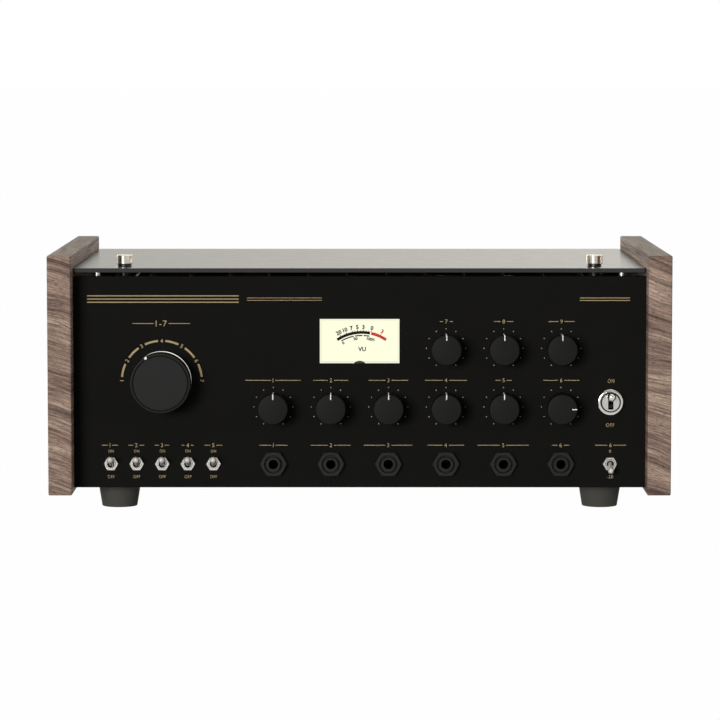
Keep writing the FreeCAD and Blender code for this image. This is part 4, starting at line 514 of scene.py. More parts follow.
SLOT_FINISHES: dict[str, Finish] = {
    # Walnut: grey brown with slanted dark streaks and a dull sheen from oil; on the tops the sheen
    # is painted as an even grey.
    "walnut": OiledWalnut("oiled_walnut"),
    # Powder coat on steel: a fine orange peel keeps its black soft and even.
    "panel_black": GrainedFinish(
        "powder_coated_steel", "#191918", "#161615", (0.5, 0.6), specular=0.01,
        grain=0.35, relief=0.004,
    ),
    # The same coat, coarser and a little shinier.
    "chassis_black": GrainedFinish(
        "textured_powder_coat", "#1d1d1c", "#161615", (0.5, 0.62), specular=0.3,
        grain=0.9, relief=0.02,
    ),
    # Smoked acrylic: a clean gloss that mirrors the room over a dark view inside.
    "smoked_acrylic": SmokedSheet("smoked_cast_acrylic"),
    # Nickel plate on turned brass: bright, with soft edges to its reflections.
    "nickel": GrainedFinish(
        "bright_nickel_plate", "#bdbbb6", "#b3b1ac", (0.2, 0.28), 1.0,
        mottle=4.0, grain=0.3, relief=0.002,
    ),
    "chrome": CHROME,
    # Moulded rubber: dull grey black with a fine skin.
    "foot_rubber": GrainedFinish(
        "moulded_rubber", "#4d4c48", "#464541", (0.7, 0.8), specular=0.15, relief=0.015
    ),
    "knob_black": KNOB_PHENOLIC,
    # Glass filled nylon: charcoal with a faint flow mottle.
    "jack_black": GrainedFinish(
        "glass_filled_nylon", "#1c1c1b", "#171716", (0.38, 0.5), specular=0.15,
        mottle=6.0, grain=0.3, relief=0.008,
    ),
    # Zinc on screws: a blotchy grey shine.
    "screw_steel": GrainedFinish(
        "zinc_plated_screw", "#a9abad", "#8d8f92", (0.28, 0.4), 1.0,
        mottle=3.0, grain=0.2, relief=0.004,
    ),
    # Turned and ground steel: fine strokes of the tool run round it.
    "machined_steel": GrainedFinish(
        "ground_steel", "#bcbec0", "#a8aaad", (0.16, 0.3), 1.0,
        mottle=8.0, grain=0.25, relief=0.004, lay=(1.0, 1.0, 0.08),
    ),
    # Aluminium, milled: pale strokes across.
    "aluminium": GrainedFinish(
        "milled_aluminium", "#c9cacb", "#b4b6b8", (0.25, 0.4), 1.0,
        grain=0.3, relief=0.006, lay=(0.06, 1.0, 1.0),
    ),
    # Sintered bronze: brown gold, dulled by the oil in its pores.
    "sintered_brass": GrainedFinish(
        "oiled_sintered_bronze", "#b08d57", "#8d6b3c", (0.3, 0.45), 1.0, mottle=3.0, grain=0.25
    ),
    # Ferric tape: dark brown with a silky sheen along its length.
    "tape_oxide": GrainedFinish(
        "ferric_oxide_tape", "#4a3327", "#3a271d", (0.28, 0.4),
        grain=0.4, relief=0.001, lay=(1.0, 1.0, 0.15),
    ),
    # Black acrylic with fire polished cuts: it mirrors the tape.
    "bin_acrylic": GrainedFinish(
        "laser_cut_acrylic", "#1e1f20", "#161718", (0.08, 0.16), grain=3.0, relief=0.002
    ),
    # Ground rubber: velvety black with hardly a reflection.
    "black_rubber": GrainedFinish(
        "ground_rubber", "#262524", "#1c1b1a", (0.55, 0.7), specular=0.35, grain=0.35, relief=0.02
    ),
    # The meter's case: satin black with a spark from the tool.
    "meter_plastic": GrainedFinish(
        "moulded_abs", "#1c1c1b", "#161615", (0.35, 0.45), grain=0.4
    ),
    # The lit card: warm ivory, even from edge to edge.
    "meter_card": LitCard("backlit_meter_card"),
    # Clear acrylic: a thin gloss over the card.
    "meter_glass": ClearPane("clear_acrylic"),
    # The needle: a thin flat black that stays dark before the lit card.
    "needle_black": GrainedFinish(
        "matt_black_paint", "#141414", "#101010", (0.6, 0.7), specular=0.2, relief=0.002
    ),
    # Lacquered board: dark green with paler tracks.
    "circuit_board": SolderMask("solder_mask"),
    # Epoxy chips and sleeves: blue black and chalky.
    "electronic_parts": GrainedFinish(
        "moulded_epoxy", "#2b2b2e", "#202023", (0.45, 0.6), mottle=8.0, grain=0.4
    ),
    # Varnished laminations: brown bands, paler and darker by turns.
    "transformer_steel": LaminatedSteel("varnished_laminations"),
    # Zinc plated sheet: cool grey with a cloudy sheen.
    "zinc_sheet": GrainedFinish(
        "zinc_plated_sheet", "#b4b8ba", "#8f9598", (0.3, 0.46), 1.0,
        mottle=12.0, grain=0.6, relief=0.004,
    ),
    # The inlet: plain grey black with a fine spark.
    "inlet_plastic": GrainedFinish(
        "moulded_polyamide", "#202020", "#181818", (0.4, 0.52), relief=0.012
    ),
}
NODE_FINISHES: dict[str, Finish] = {
    # The washers behind the jack nuts: a dead black, darker than the nuts.
    "jack_washers": GrainedFinish(
        "dead_black_washer", "#0c0c0b", "#080808", (0.7, 0.85), specular=0.1, grain=0.4
    ),
}


class Ink(Enum):
    """What is printed, or filled in with paint: the record's slot and the finish."""

    # Screen printed ink: flat, with a broken edge too fine to show.
    GOLD = "gold_print", GrainedFinish(
        "gold_screen_ink", "#b9a680", "#a8956f", (0.45, 0.6), specular=0.1,
        mottle=2.0, grain=0.25, relief=0.004,
    )
    # The same ink in grey, for the dots round the knobs.
    DOTS = "white_print", GrainedFinish(
        "grey_screen_ink", "#acaca8", "#9e9e9a", (0.5, 0.6), specular=0.1,
        mottle=2.0, grain=0.25, relief=0.004,
    )
    # Paint filled into the knobs' lines: a clean chalky white.
    LINES = "white_print", GrainedFinish(
        "white_filled_paint", "#ffffff", "#f7f7f5", (0.45, 0.55), specular=0.1,
        mottle=2.0, grain=0.25, relief=0.004,
    )
    # Offset ink on the lit card: dense, and dull enough to keep its edge.
    SCALE = "needle_black", GrainedFinish(
        "black_offset_ink", "#171613", "#100f0d", (0.6, 0.7), specular=0.1, relief=0.001
    )
    # The same in red, which glows a little before the card.
    PEAK = "meter_card", GrainedFinish(
        "red_offset_ink", "#f0463a", "#e23c32", (0.6, 0.7), specular=0.1, relief=0.001
    )


# ---------------------------------------------------------------- places

class Joints:
    """The frame's joints by name, read as places and angles."""

    def __init__(self, joints: Iterable[dict[str, Any]]) -> None:
        """Index the joints."""
        self.by_name = {joint["name"]: joint for joint in joints}

    def point(self, name: str) -> Vector:
        """The point on a joint's axis, in metres."""
        return Vector(self.by_name[name]["pos_m"])

    def limits(self, name: str) -> tuple[float, float]:
        """A hinge's range from rest, in degrees."""
        low, high = self.by_name[name]["range_deg"]
        return low, high

    def named(self, ending: str) -> list[str]:
        """What stands before an ending in the names that have it."""
        return [name[: -len(ending)] for name in self.by_name if name.endswith(ending)]


JOINTS = Joints(frame["joints"])
PANEL_LOW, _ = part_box("front_panel")
UPRIGHT = Matrix.Rotation(math.radians(90), 4, "X")
PANEL_AXES = Matrix.Translation((0, PANEL_LOW.y, PANEL_LOW.z)) @ UPRIGHT


def on_panel(point: Vector) -> tuple[float, float]:
    """Across and up on the panel, in millimetres, of a point in metres."""
    return point.x / MM, (point.z - PANEL_LOW.z) / MM


def at(x: float = 0.0, y: float = 0.0, z: float = 0.0, turn: float = 0.0) -> Matrix:
    """A place on a piece's own axes, turned clockwise by some degrees as seen down Z."""
    return Matrix.Translation((x, y, z)) @ Matrix.Rotation(math.radians(-turn), 4, "Z")


def round_about(middle: tuple[float, float], radius: float, angle: float, z: float = 0) -> Matrix:
    """A place on a circle at an angle in degrees clockwise from up, set upright on the radius."""
    turn = math.radians(angle)
    across, upward = middle[0] + radius * math.sin(turn), middle[1] + radius * math.cos(turn)
    return at(across, upward, z, angle)


# ---------------------------------------------------------------- shapes

def sound(part: Shape) -> Shape:
    """Merge a shape's doubles and turn its faces outwards."""
    bmesh.ops.remove_doubles(part, verts=part.verts, dist=TOUCH)
    bmesh.ops.recalc_face_normals(part, faces=part.faces)
    return part


def spun(profile: Profile, steps: int = 64, ring: bool = False, sweep: float = 360.0) -> Shape:
    """Turn a profile about Z.

    Args:
        profile: Radius and height of each point.
        steps: Facets of the turn.
        ring: Whether the last point joins the first.
        sweep: Degrees of the turn, anticlockwise; a part turn has its ends closed.

    Returns:
        The turned shape.
    """
    part = bmesh.new()
    points = [part.verts.new((radius, 0.0, height)) for radius, height in profile]
    edges = [part.edges.new(pair) for pair in zip(points, points[1:])]
    if ring:
        edges.append(part.edges.new((points[-1], points[0])))
    ends = [part.faces.new(points)] if sweep < 360 else []
    bmesh.ops.spin(
        part, geom=points + edges + ends, cent=(0, 0, 0), axis=(0, 0, 1),
        angle=math.radians(sweep), steps=steps, use_merge=sweep == 360,
    )
    return sound(part)


def rod(radius: float, low: float, high: float, steps: int = 32) -> Shape:
    """Turn a plain round rod, or a disc, between two heights."""
    return spun([(0, low), (radius, low), (radius, high), (0, high)], steps)


def block(low: Sequence[float], high: Sequence[float]) -> Shape:
    """Make a block between two corners."""
    part = bmesh.new()
    bmesh.ops.create_cube(part, size=1.0)
    bmesh.ops.scale(part, vec=Vector(high) - Vector(low), verts=part.verts)
    bmesh.ops.translate(part, vec=(Vector(high) + Vector(low)) / 2, verts=part.verts)
    return part


def arc(middle: Sequence[float], radius: float, start: float, end: float, steps: int) -> Profile:
    """Points of an arc in a profile, from one angle to another in degrees, 0 along the radius."""
    points = []
    for step in range(steps + 1):
        angle = math.radians(start + (end - start) * step / steps)
        across, upward = radius * math.cos(angle), radius * math.sin(angle)
        points.append((middle[0] + across, middle[1] + upward))
    return points


def hexagonal(part: Shape, flats: float, top: float, seat: float, chamfer: float = 30.0) -> Shape:
    """Cut a turned blank down to a hexagon with corners to the left and right.

    The blank's chamfer then meets each flat in an arc, as on a real nut.

    Args:
        part: Blank as wide as the hexagon's corners, from height 0, in a multiple of 6 steps.
        flats: Width across the flats.
        top: Height of the nut.
        seat: Radius of the round face inside the chamfer.
        chamfer: Fall of the chamfer in degrees.

    Returns:
        The same shape.
    """
    for vert in part.verts:
        radius = math.hypot(vert.co.x, vert.co.y)
        apart = math.atan2(vert.co.y, vert.co.x) % (math.pi / 3) - math.pi / 6
        reach = flats / 2 / math.cos(apart)
        if radius > reach - 1e-6:
            vert.co.x *= reach / radius
            vert.co.y *= reach / radius
            if vert.co.z > 0:
                vert.co.z = top - (reach - seat) * math.tan(math.radians(chamfer))
    return part


def ribbed(
    part: Shape, band: tuple[float, float], radius: float, margin: float, depth: float
) -> Shape:
    """Sink every second facet of a turned side, which leaves ribs between the hollows.

    Args:
        part: The turned shape.
        band: Heights between which the facets lie.
        radius: Radius of the side.
        margin: Width of the slope at a hollow's edge.
        depth: Depth of a hollow.

    Returns:
        The same shape.
    """
    side = []
    for face in part.faces:
        middle = face.calc_center_median()
        if band[0] < middle.z < band[1] and math.hypot(middle.x, middle.y) > radius - SIDE:
            side.append((math.atan2(middle.y, middle.x), face))
    side.sort(key=lambda entry: entry[0])
    hollows = [face for _, face in side[::2]]
    bmesh.ops.inset_individual(
        part, faces=hollows, thickness=margin, depth=-depth, use_even_offset=True
    )
    return part


def lettered(
    text: str, height: float, weight: float = 0.0, stretch: float = 1.0, spacing: float = 1.0
) -> Shape:
    """Raise plain characters as a thin layer of ink, centred on the origin.

    Args:
        text: The characters.
        height: Height of the tallest one.
        weight: How much bolder the strokes are, as a share of the size.
        stretch: Width of the characters; 1 as the typeface has them.
        spacing: Distance between them; 1 as the typeface has it.

    Returns:
        The letters' shape, from height 0.
    """
    curve = bpy.data.curves.new("characters", "FONT")
    curve.body = text
    curve.size = 1.0
    curve.offset = weight
    curve.space_character = spacing
    curve.resolution_u = 3
    curve.extrude = 0.5
    holder = bpy.data.objects.new("characters", curve)
    mesh = bpy.data.meshes.new_from_object(holder)
    part = bmesh.new()
    part.from_mesh(mesh)
    bpy.data.objects.remove(holder)
    bpy.data.curves.remove(curve)
    bpy.data.meshes.remove(mesh)
    across = [vert.co.x for vert in part.verts]
    upward = [vert.co.y for vert in part.verts]
    middle = ((min(across) + max(across)) / 2, (min(upward) + max(upward)) / 2, -0.5)
    scale = height / (max(upward) - min(upward))
    bmesh.ops.translate(part, vec=-Vector(middle), verts=part.verts)
    bmesh.ops.scale(part, vec=(scale * stretch, scale, INK), verts=part.verts)
    return sound(part)


def band(radius: float, wide: float, start: float, end: float) -> Shape:
    """Print an arc, between two angles in degrees clockwise from up, about the origin.

    Args:
        radius: Radius of its middle line.
        wide: Width of the line.
        start: First angle.
        end: Last angle.

    Returns:
        The arc.
    """
    inner, outer = radius - wide / 2, radius + wide / 2
    profile = [(inner, 0), (outer, 0), (outer, INK), (inner, INK)]
    steps = max(4, round((end - start) / 2))
    line = spun(profile, steps, ring=True, sweep=end - start)
    line.transform(Matrix.Rotation(math.radians(90 - end), 4, "Z"))
    return line


def stroke(across: float, upward: float, wide: float, tall: float) -> Shape:
    """Print a straight line with its middle at a place on the panel."""
    x, y = wide / 2, tall / 2
    return block((across - x, upward - y, 0), (across + x, upward + y, INK))


def faces_front(face: bmesh.types.BMFace) -> bool:
    """Whether a face looks along its piece's own Z."""
    return face.normal.z > ALONG


class Piece:
    """A named piece of the scene, gathered from shapes."""

    def __init__(self, name: str) -> None:
        """Start an empty piece.

        Args:
            name: The piece's name in the scene.
        """
        self.name = name
        self.mesh = bpy.data.meshes.new(name)
        self.gathered = bmesh.new()

    def add(self, part: Shape, place: Matrix = HERE) -> "Piece":
        """Put a shape into the piece.

        Args:
            part: The shape, which is used up.
            place: Where it goes, on the piece's own axes.

        Returns:
            The piece, so that calls can be chained.
        """
        part.transform(place)
        loose = bpy.data.meshes.new("loose")
        part.to_mesh(loose)
        part.free()
        self.gathered.from_mesh(loose)
        bpy.data.meshes.remove(loose)
        return self

    def finish(
        self,
        body: str,
        slot: str,
        finish: Optional[Finish] = None,
        stands_for: Iterable[str] = (),
        second: Optional[Finish] = None,
        where: Callable[[bmesh.types.BMFace], bool] = faces_front,
        axes: Matrix = PANEL_AXES,
        sharp: float = 32.0,
    ) -> bpy.types.Object:
        """Bring the piece to its place in metres, dress it and hand it to its body.

        Args:
            body: The body that it moves with.
            slot: The record's material slot.
            finish: Its finish, if it isn't the slot's own.
            stands_for: Nodes that it replaces.
            second: A second finish for some of its faces.
            where: Which faces those are; without it, the ones that look along its own Z.
            axes: The piece's own axes in the scene, in metres.
            sharp: Angle in degrees above which an edge stays sharp.

        Returns:
            The finished object.
        """
        self.gathered.normal_update()
        for face in self.gathered.faces:
            face.material_index = int(second is not None and where(face))
        self.gathered.transform(axes @ Matrix.Scale(MM, 4))
        self.gathered.to_mesh(self.mesh)
        self.gathered.free()
        self.mesh.shade_smooth()
        self.mesh.set_sharp_from_angle(angle=math.radians(sharp))
        self.mesh.materials.append((finish or SLOT_FINISHES[slot]).material())
        if second:
            self.mesh.materials.append(second.material())
        piece = in_scene(self.name, self.mesh)
        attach(piece, body)
        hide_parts(*stands_for)
        LOG.info("%s: %d faces on %s", self.name, len(self.mesh.polygons), body)
        return piece

    def print(self, ink: Ink, body: str = "chassis") -> bpy.types.Object:
        """Finish the piece as a print on the panel or on what stands on it."""
        return self.finish(body, *ink.value)


# ---------------------------------------------------------------- knobs

@dataclass
class Knob:
    """A ribbed black knob on a shaft, with a white line: what all the knobs share."""

    name: str
    radius: float = 10.0
    rise: float = 1.0
    height: float = 17.0
    edge: float = 0.5
    edge_start: float = 70.0
    edge_steps: int = 3
    smooth_band: float = 3.0
    foot: float = 1.0
    foot_break: float = 1.0
    foot_inset: float = 0.4
    ribs: int = 36
    rib_margin: float = 0.12
    rib_depth: float = 0.3
    hollow_radius: float = 7.0
    hollow_depth: float = 4.5
    shaft_radius: float = 3.0
    shaft_tail: float = 7.0
    line_wide: float = 0.7
    line_proud: float = 0.02
    line_bend: float = 0.2
    line_deep: float = 0.4
    turn: float = 300.0

    def __post_init__(self) -> None:
        """Find the knob's body, its place on the panel and its heights."""
        joint = self.name + "_turn"
        self.body = self.name + "_knob"
        self.place = on_panel(JOINTS.point(joint))
        self.rest = -self.turn / 2 - JOINTS.limits(joint)[0]
        self.top = self.rise + self.height
        self.seat = self.rise + self.hollow_depth

    def cap(self, face: Profile, back: Profile) -> Shape:
        """Turn the cap and sink the hollows between its ribs.

        Args:
            face: Profile of its face, up to the rounding of the edge.
            back: Profile of its back, inwards from the foot of the side.

        Returns:
            The cap.
        """
        rim = self.radius - self.edge
        ribs = (self.foot + self.foot_break, self.top - self.smooth_band)
        side = [
            (rim, self.top),
            *arc((rim, self.top - self.edge), self.edge, self.edge_start, 0, self.edge_steps),
            (self.radius, ribs[1]),
            (self.radius, ribs[0]),
            (self.radius - self.foot_inset, self.foot),
        ]
        cap = spun([*face, *side, *back], steps=2 * self.ribs)
        return ribbed(cap, ribs, self.radius, self.rib_margin, self.rib_depth)

    def hollow(self) -> Profile:
        """Profile of the hollow round the nut."""
        return [(self.hollow_radius, self.rise), (self.hollow_radius, self.seat), (0, self.seat)]

    def line(self, name: str, inner: float, outer: float, low: float) -> None:
        """Lay the white line along the face, rounded over the edge, and down the side.

        Args:
            name: The piece's name.
            inner: Radius of its end on the face.
            outer: Radius of the line on the side.
            low: Height of its lower end.
        """
        half, face = self.line_wide / 2, self.top + self.line_proud
        bend = self.top - self.edge - self.line_bend
        strip = block((-half, inner, bend), (half, outer, face))
        corner = [
            edge for edge in strip.edges
            if all(vert.co.y > outer - NEAR and vert.co.z > face - NEAR for vert in edge.verts)
        ]
        bmesh.ops.bevel(
            strip, geom=corner, offset=self.edge, offset_type="OFFSET", segments=self.edge_steps,
            profile=0.5, affect="EDGES", material=-1,
        )
        here = at(*self.place, turn=self.rest)
        line = Piece(name).add(strip, here)
        line.add(block((-half, outer - self.line_deep, low), (half, outer, bend)), here)
        line.print(Ink.LINES, self.body)


@dataclass
class ControlKnob(Knob):
    """A fluted knob with a white pointer, and the dots of its scale."""

    line_long: float = 2.9
    line_foot: float = 1.2
    dot_circle: float = 13.24
    dot_radius: float = 0.37
    dots: int = 11

    def make(self, dots: Piece) -> None:
        """Build the knob and its pointer, and print its scale on the panel.

        Args:
            dots: The piece that gathers the panel's dots.
        """
        here = at(*self.place)
        cap = Piece(self.body + "_cap").add(self.cap([(0, self.top)], self.hollow()), here)
        cap.add(rod(self.shaft_radius, -self.shaft_tail, self.seat), here)
        # The face keeps the moulding's colour; the side and the rest are painted darker, as shade.
        cap.finish(self.body, "knob_black", SHADED_SIDE_PHENOLIC, [self.body], KNOB_PHENOLIC)
        inner, side = self.radius - self.edge - self.line_long, self.radius + self.line_proud
        self.line(self.body + "_pointer", inner, side, self.rise + self.line_foot)
        for index in range(self.dots):
            angle = self.turn * (index / (self.dots - 1) - 0.5)
            dot = rod(self.dot_radius, 0, INK, steps=12)
            dots.add(dot, round_about(self.place, self.dot_circle, angle))


@dataclass
class ModeKnob(Knob):
    """The large mode knob: matt face in a ribbed grip, on a skirt with a bright chamfer; its
    groove is painted dark as shade.
    """

    name: str = "mode"
    radius: float = 20.2
    height: float = 19.0
    edge: float = 0.35
    edge_start: float = 60.0
    edge_steps: int = 2
    smooth_band: float = 2.2
    foot: float = 6.5
    foot_break: float = 0.4
    ribs: int = 60
    rib_margin: float = 0.15
    rib_depth: float = 0.35
    hollow_radius: float = 12.0
    hollow_depth: float = 7.0
    line_wide: float = 1.7
    line_long: float = 1.5
    line_drop: float = 8.0
    line_bend: float = 0.1
    line_deep: float = 0.6
    turn: float = 180.0
    groove_radius: float = 18.2
    groove_wide: float = 0.8
    groove_deep: float = 1.0
    groove_break: float = 0.15
    rim_break: float = 0.1
    painted_shade_depth: float = 0.5
    flange_radius: float = 20.1
    flange_thick: float = 0.15
    chamfer: float = 1.4

    def face(self) -> Profile:
        """Profile of the grip's face with its groove."""
        inner, outer = self.groove_radius, self.groove_radius + self.groove_wide
        floor = self.top - self.groove_deep
        return [
            (0, self.top), (inner - self.groove_break, self.top),
            (inner, self.top - self.groove_break), (inner, floor), (outer, floor),
            (outer, self.top - self.rim_break), (outer + self.rim_break, self.top),
        ]

    def skirt(self) -> Shape:
        """Turn the skirt: hollow round the nut, a chamfered flange and a neck up to the grip."""
        flange, neck = self.flange_radius, self.flange_radius - self.chamfer
        lip = self.rise + self.flange_thick
        outside = [(0, self.foot), (neck, self.foot), (neck, lip + self.chamfer), (flange, lip)]
        return spun([*outside, (flange, self.rise), *self.hollow()], steps=120)

    def make(self) -> None:
        """Build the grip, the skirt with its shaft, and the white mark."""
        here, painted_shade_top = at(*self.place), self.top - self.painted_shade_depth
        grip = Piece(self.body + "_grip").add(self.cap(self.face(), [(0, self.foot)]), here)
        # Faces that look out near the top take the face's finish; the side and the groove's floor
        # take the darker side finish, painted as shade.
        grip.finish(
            self.body, "knob_black", SHADED_SIDE_PHENOLIC, [self.body], MODE_FACE,
            lambda face: faces_front(face) and face.calc_center_median().z > painted_shade_top,
        )
        skirt = Piece(self.body + "_skirt").add(self.skirt(), here)
        skirt.add(rod(self.shaft_radius, -self.shaft_tail, self.foot), here)
        skirt.finish(self.body, "aluminium", TURNED_ALUMINIUM)
        inner, low = self.radius - self.line_long, self.top - self.line_drop
        self.line(self.body + "_mark", inner, self.radius, low)


# ---------------------------------------------------------------- nuts, levers and dress ring

@dataclass(frozen=True)
class HexNut:
    """A chamfered hexagon nut with corners to the left and right."""

    flats: float
    bore: float
    thick: float = 2.0
    recess: float = 0.0
    recess_floor: float = 0.0
    seat_margin: float = 0.15
    mouth_break: float = 0.25

    def shape(self) -> Shape:
        """Turn the blank with its chamfered bore or recess and cut it to the hexagon."""
        corner = self.flats / math.sqrt(3)
        mouth, seat = self.recess or self.bore, self.flats / 2 - self.seat_margin
        profile = [
            (self.bore, 0), (corner, 0), (corner, self.thick), (seat, self.thick),
            (mouth + self.mouth_break, self.thick), (mouth, self.thick - self.mouth_break),
        ]
        if self.recess:
            profile += [(mouth, self.recess_floor), (self.bore, self.recess_floor)]
        return hexagonal(spun(profile, steps=48, ring=True), self.flats, self.thick, seat)


@dataclass
class ControlNuts:
    """The nuts of the knobs, the mode switch, the small toggles and the jacks.

    Attributes:
        knobs: Joint names of the control knobs.
        toggles: Joint names of the small toggles.
        jacks: A point on each jack's axis.
        jack_washer: Thickness of what lies under a jack's nut.
        sharp: Angle in degrees above which their edges stay sharp.
    """

    knobs: Sequence[str]
    toggles: Sequence[str]
    jacks: Sequence[Vector]
    knob_nut: HexNut = HexNut(10.0, 3.55)
    mode_nut: HexNut = HexNut(13.0, 4.55)
    toggle_nut: HexNut = HexNut(8.5, 3.05)
    jack_nut: HexNut = HexNut(16.0, 4.85, thick=3.0, recess=6.1, recess_floor=0.5)
    jack_washer: float = 0.8
    sharp: float = 20.0

    def make(self) -> None:
        """Build the small nuts as one piece and the jack nuts as another."""
        nuts = Piece("control_nuts")
        fitted = (
            (self.knob_nut, self.knobs),
            (self.mode_nut, ["mode_turn"]),
            (self.toggle_nut, self.toggles),
        )
        for nut, joints in fitted:
            for joint in joints:
                nuts.add(nut.shape(), at(*on_panel(JOINTS.point(joint))))
        nuts.finish("chassis", "nickel", stands_for=["panel_nuts"], sharp=self.sharp)
        rings = Piece("jack_hex_nuts")
        for point in self.jacks:
            rings.add(self.jack_nut.shape(), at(*on_panel(point), self.jack_washer))
        rings.finish("chassis", "jack_black", stands_for=["jack_nuts"], sharp=self.sharp)


@dataclass
class BatLever:
    """A toggle's lever: a slim neck that widens to a round tip, on its pivot barrel.

    Attributes:
        neck: Share of the length over which the lever stays as slim as at its root.
        swell: Share of the way from there to the tip, and how far it has widened by then.
        pivot_reach: How far beyond the barrel the pivot's finish goes.
    """

    name: str
    length: float = 9.1
    root: float = 1.45
    tip: float = 2.05
    neck: float = 0.3
    barrel: float = 1.3
    barrel_wide: float = 1.6
    finish: Finish = LEVER_NICKEL
    pivot_finish: Finish = LEVER_NICKEL
    swell: Profile = ((0.35, 0.25), (0.7, 0.72), (0.9, 0.95))
    pivot_reach: float = 0.4

    def shape(self) -> Shape:
        """Turn the lever along its own length, from the pivot outwards."""
        start = self.neck * self.length
        profile = [(0, -self.barrel * 0.5), (self.root, 0), (self.root, start)]
        for along, grow in self.swell:
            radius = self.root + (self.tip - self.root) * grow
            profile.append((radius, start + (self.length - start) * along))
        profile += arc((0, self.length), self.tip, 0, 75, 5)
        return spun([*profile, (0, self.length + self.tip)], steps=32)

    def make(self) -> None:
        """Build the lever and lean it to its place at rest."""
        joint, body = self.name + "_flip", self.name + "_toggle"
        point = JOINTS.point(joint)
        lean = Matrix.Rotation(math.radians(-sum(JOINTS.limits(joint)) / 2), 4, "X")
        place = at(*on_panel(point), (PANEL_LOW.y - point.y) / MM) @ lean
        pivot, axle = place.to_translation(), self.barrel_wide / 2
        reach = self.barrel + self.pivot_reach
        lever = Piece(self.name + "_lever").add(self.shape(), place)
        across = place @ Matrix.Rotation(math.radians(90), 4, "Y")
        lever.add(rod(self.barrel, -axle, axle, steps=24), across)
        lever.finish(
            body, "nickel", self.finish, [body], self.pivot_finish,
            lambda face: (face.calc_center_median() - pivot).length < reach,
        )


@dataclass
class DressRing:
    """The domed round nut of the power switch, with a groove inside its dome painted black as
    shade.
    """

    radius: float = 9.05
    bore: float = 5.95
    groove: float = 6.75
    groove_floor: float = 0.6
    groove_break: float = 0.3
    groove_slack: float = 0.05
    foot_break: float = 0.2
    thick: float = 3.0
    dome: float = 1.4

    def make(self) -> None:
        """Turn the ring and fit it round the power switch."""
        lip = self.thick - self.groove_break
        profile = [
            (self.bore, 0),
            (self.radius - self.foot_break, 0),
            (self.radius, self.foot_break),
            *arc((self.radius - self.dome, self.thick - self.dome), self.dome, 0, 90, 8),
            (self.groove + self.groove_break, self.thick),
            (self.groove, lip),
            (self.groove, self.groove_floor),
            (self.bore, self.groove_floor),
        ]
        place = at(*on_panel(JOINTS.point("power_flip")))
        ring = Piece("power_dress_ring").add(spun(profile, steps=96, ring=True), place)

        def in_groove(face: bmesh.types.BMFace) -> bool:
            """Whether a face lies in the groove or in the bore, which are painted black as shade.
            """
            middle = face.calc_center_median()
            away = (middle - place.to_translation()).xy.length
            return away < self.groove + self.groove_slack and middle.z < lip

        # The groove and the bore are painted black, as shade.
        ring.finish("chassis", "chrome", None, ["power_ring"], BLACK_STEEL_AND_SHADE, in_groove)


# ---------------------------------------------------------------- cover screws and feet

class Side(Enum):
    """The two sides of the cover."""

    LEFT = "left"
    RIGHT = "right"


@dataclass
class ThumbScrew:
    """A thumbscrew: knurled nickel head on a dark neck and thread."""

    side: Side
    head_radius: float = 5.5
    head_height: float = 6.1
    edge: float = 0.35
    dish_deep: float = 0.3
    dish_rim: float = 1.1
    ribs: int = 44
    rib_margin: float = 0.08
    rib_depth: float = 0.15
    neck_radius: float = 4.65
    neck_height: float = 1.6
    neck_break: float = 0.15
    thread_radius: float = 2.0
    thread_deep: float = 0.4
    crest: float = 0.1
    pitch: float = 0.7
    reach: float = 12.0
    sharp: float = 25.0

    def head(self) -> Shape:
        """Turn the head, with a shallow dish in its top, and knurl its side."""
        foot, top, radius = self.neck_height, self.neck_height + self.head_height, self.head_radius
        dish, dish_edge = top - self.dish_deep, radius - self.dish_rim
        profile = [
            (0, dish), (dish_edge - self.dish_deep, dish), (dish_edge, top),
            (radius - self.edge, top), (radius, top - self.edge),
            (radius, foot + self.edge), (radius - self.edge, foot), (0, foot),
        ]
        side = (foot + self.edge, top - self.edge)
        blank = spun(profile, steps=2 * self.ribs)
        return ribbed(blank, side, radius, self.rib_margin, self.rib_depth)

    def stem(self) -> Shape:
        """Turn the neck and the thread below it."""
        root = self.thread_radius - self.thread_deep
        profile = [
            (0, self.neck_height), (self.neck_radius, self.neck_height),
            (self.neck_radius, self.neck_break), (self.neck_radius - self.neck_break, 0),
            (self.thread_radius, 0),
        ]
        for turn in range(int((self.reach - 1) / self.pitch)):
            z = -turn * self.pitch
            profile += [(self.thread_radius, z - self.crest), (root, z - self.pitch / 2)]
        return spun([*profile, (root, -self.reach), (0, -self.reach)], steps=48)

    def make(self) -> None:
        """Build the screw over its hole in the cover."""
        body = self.side.value + "_thumbscrew"
        axes = Matrix.Translation(JOINTS.point(body + "_turn"))
        head = Piece(body + "_head").add(self.head())
        head.finish(body, "nickel", POLISHED_NICKEL, [body], axes=axes, sharp=self.sharp)
        Piece(body + "_stem").add(self.stem()).finish(body, "screw_steel", BLACK_STEEL_AND_SHADE, axes=axes)


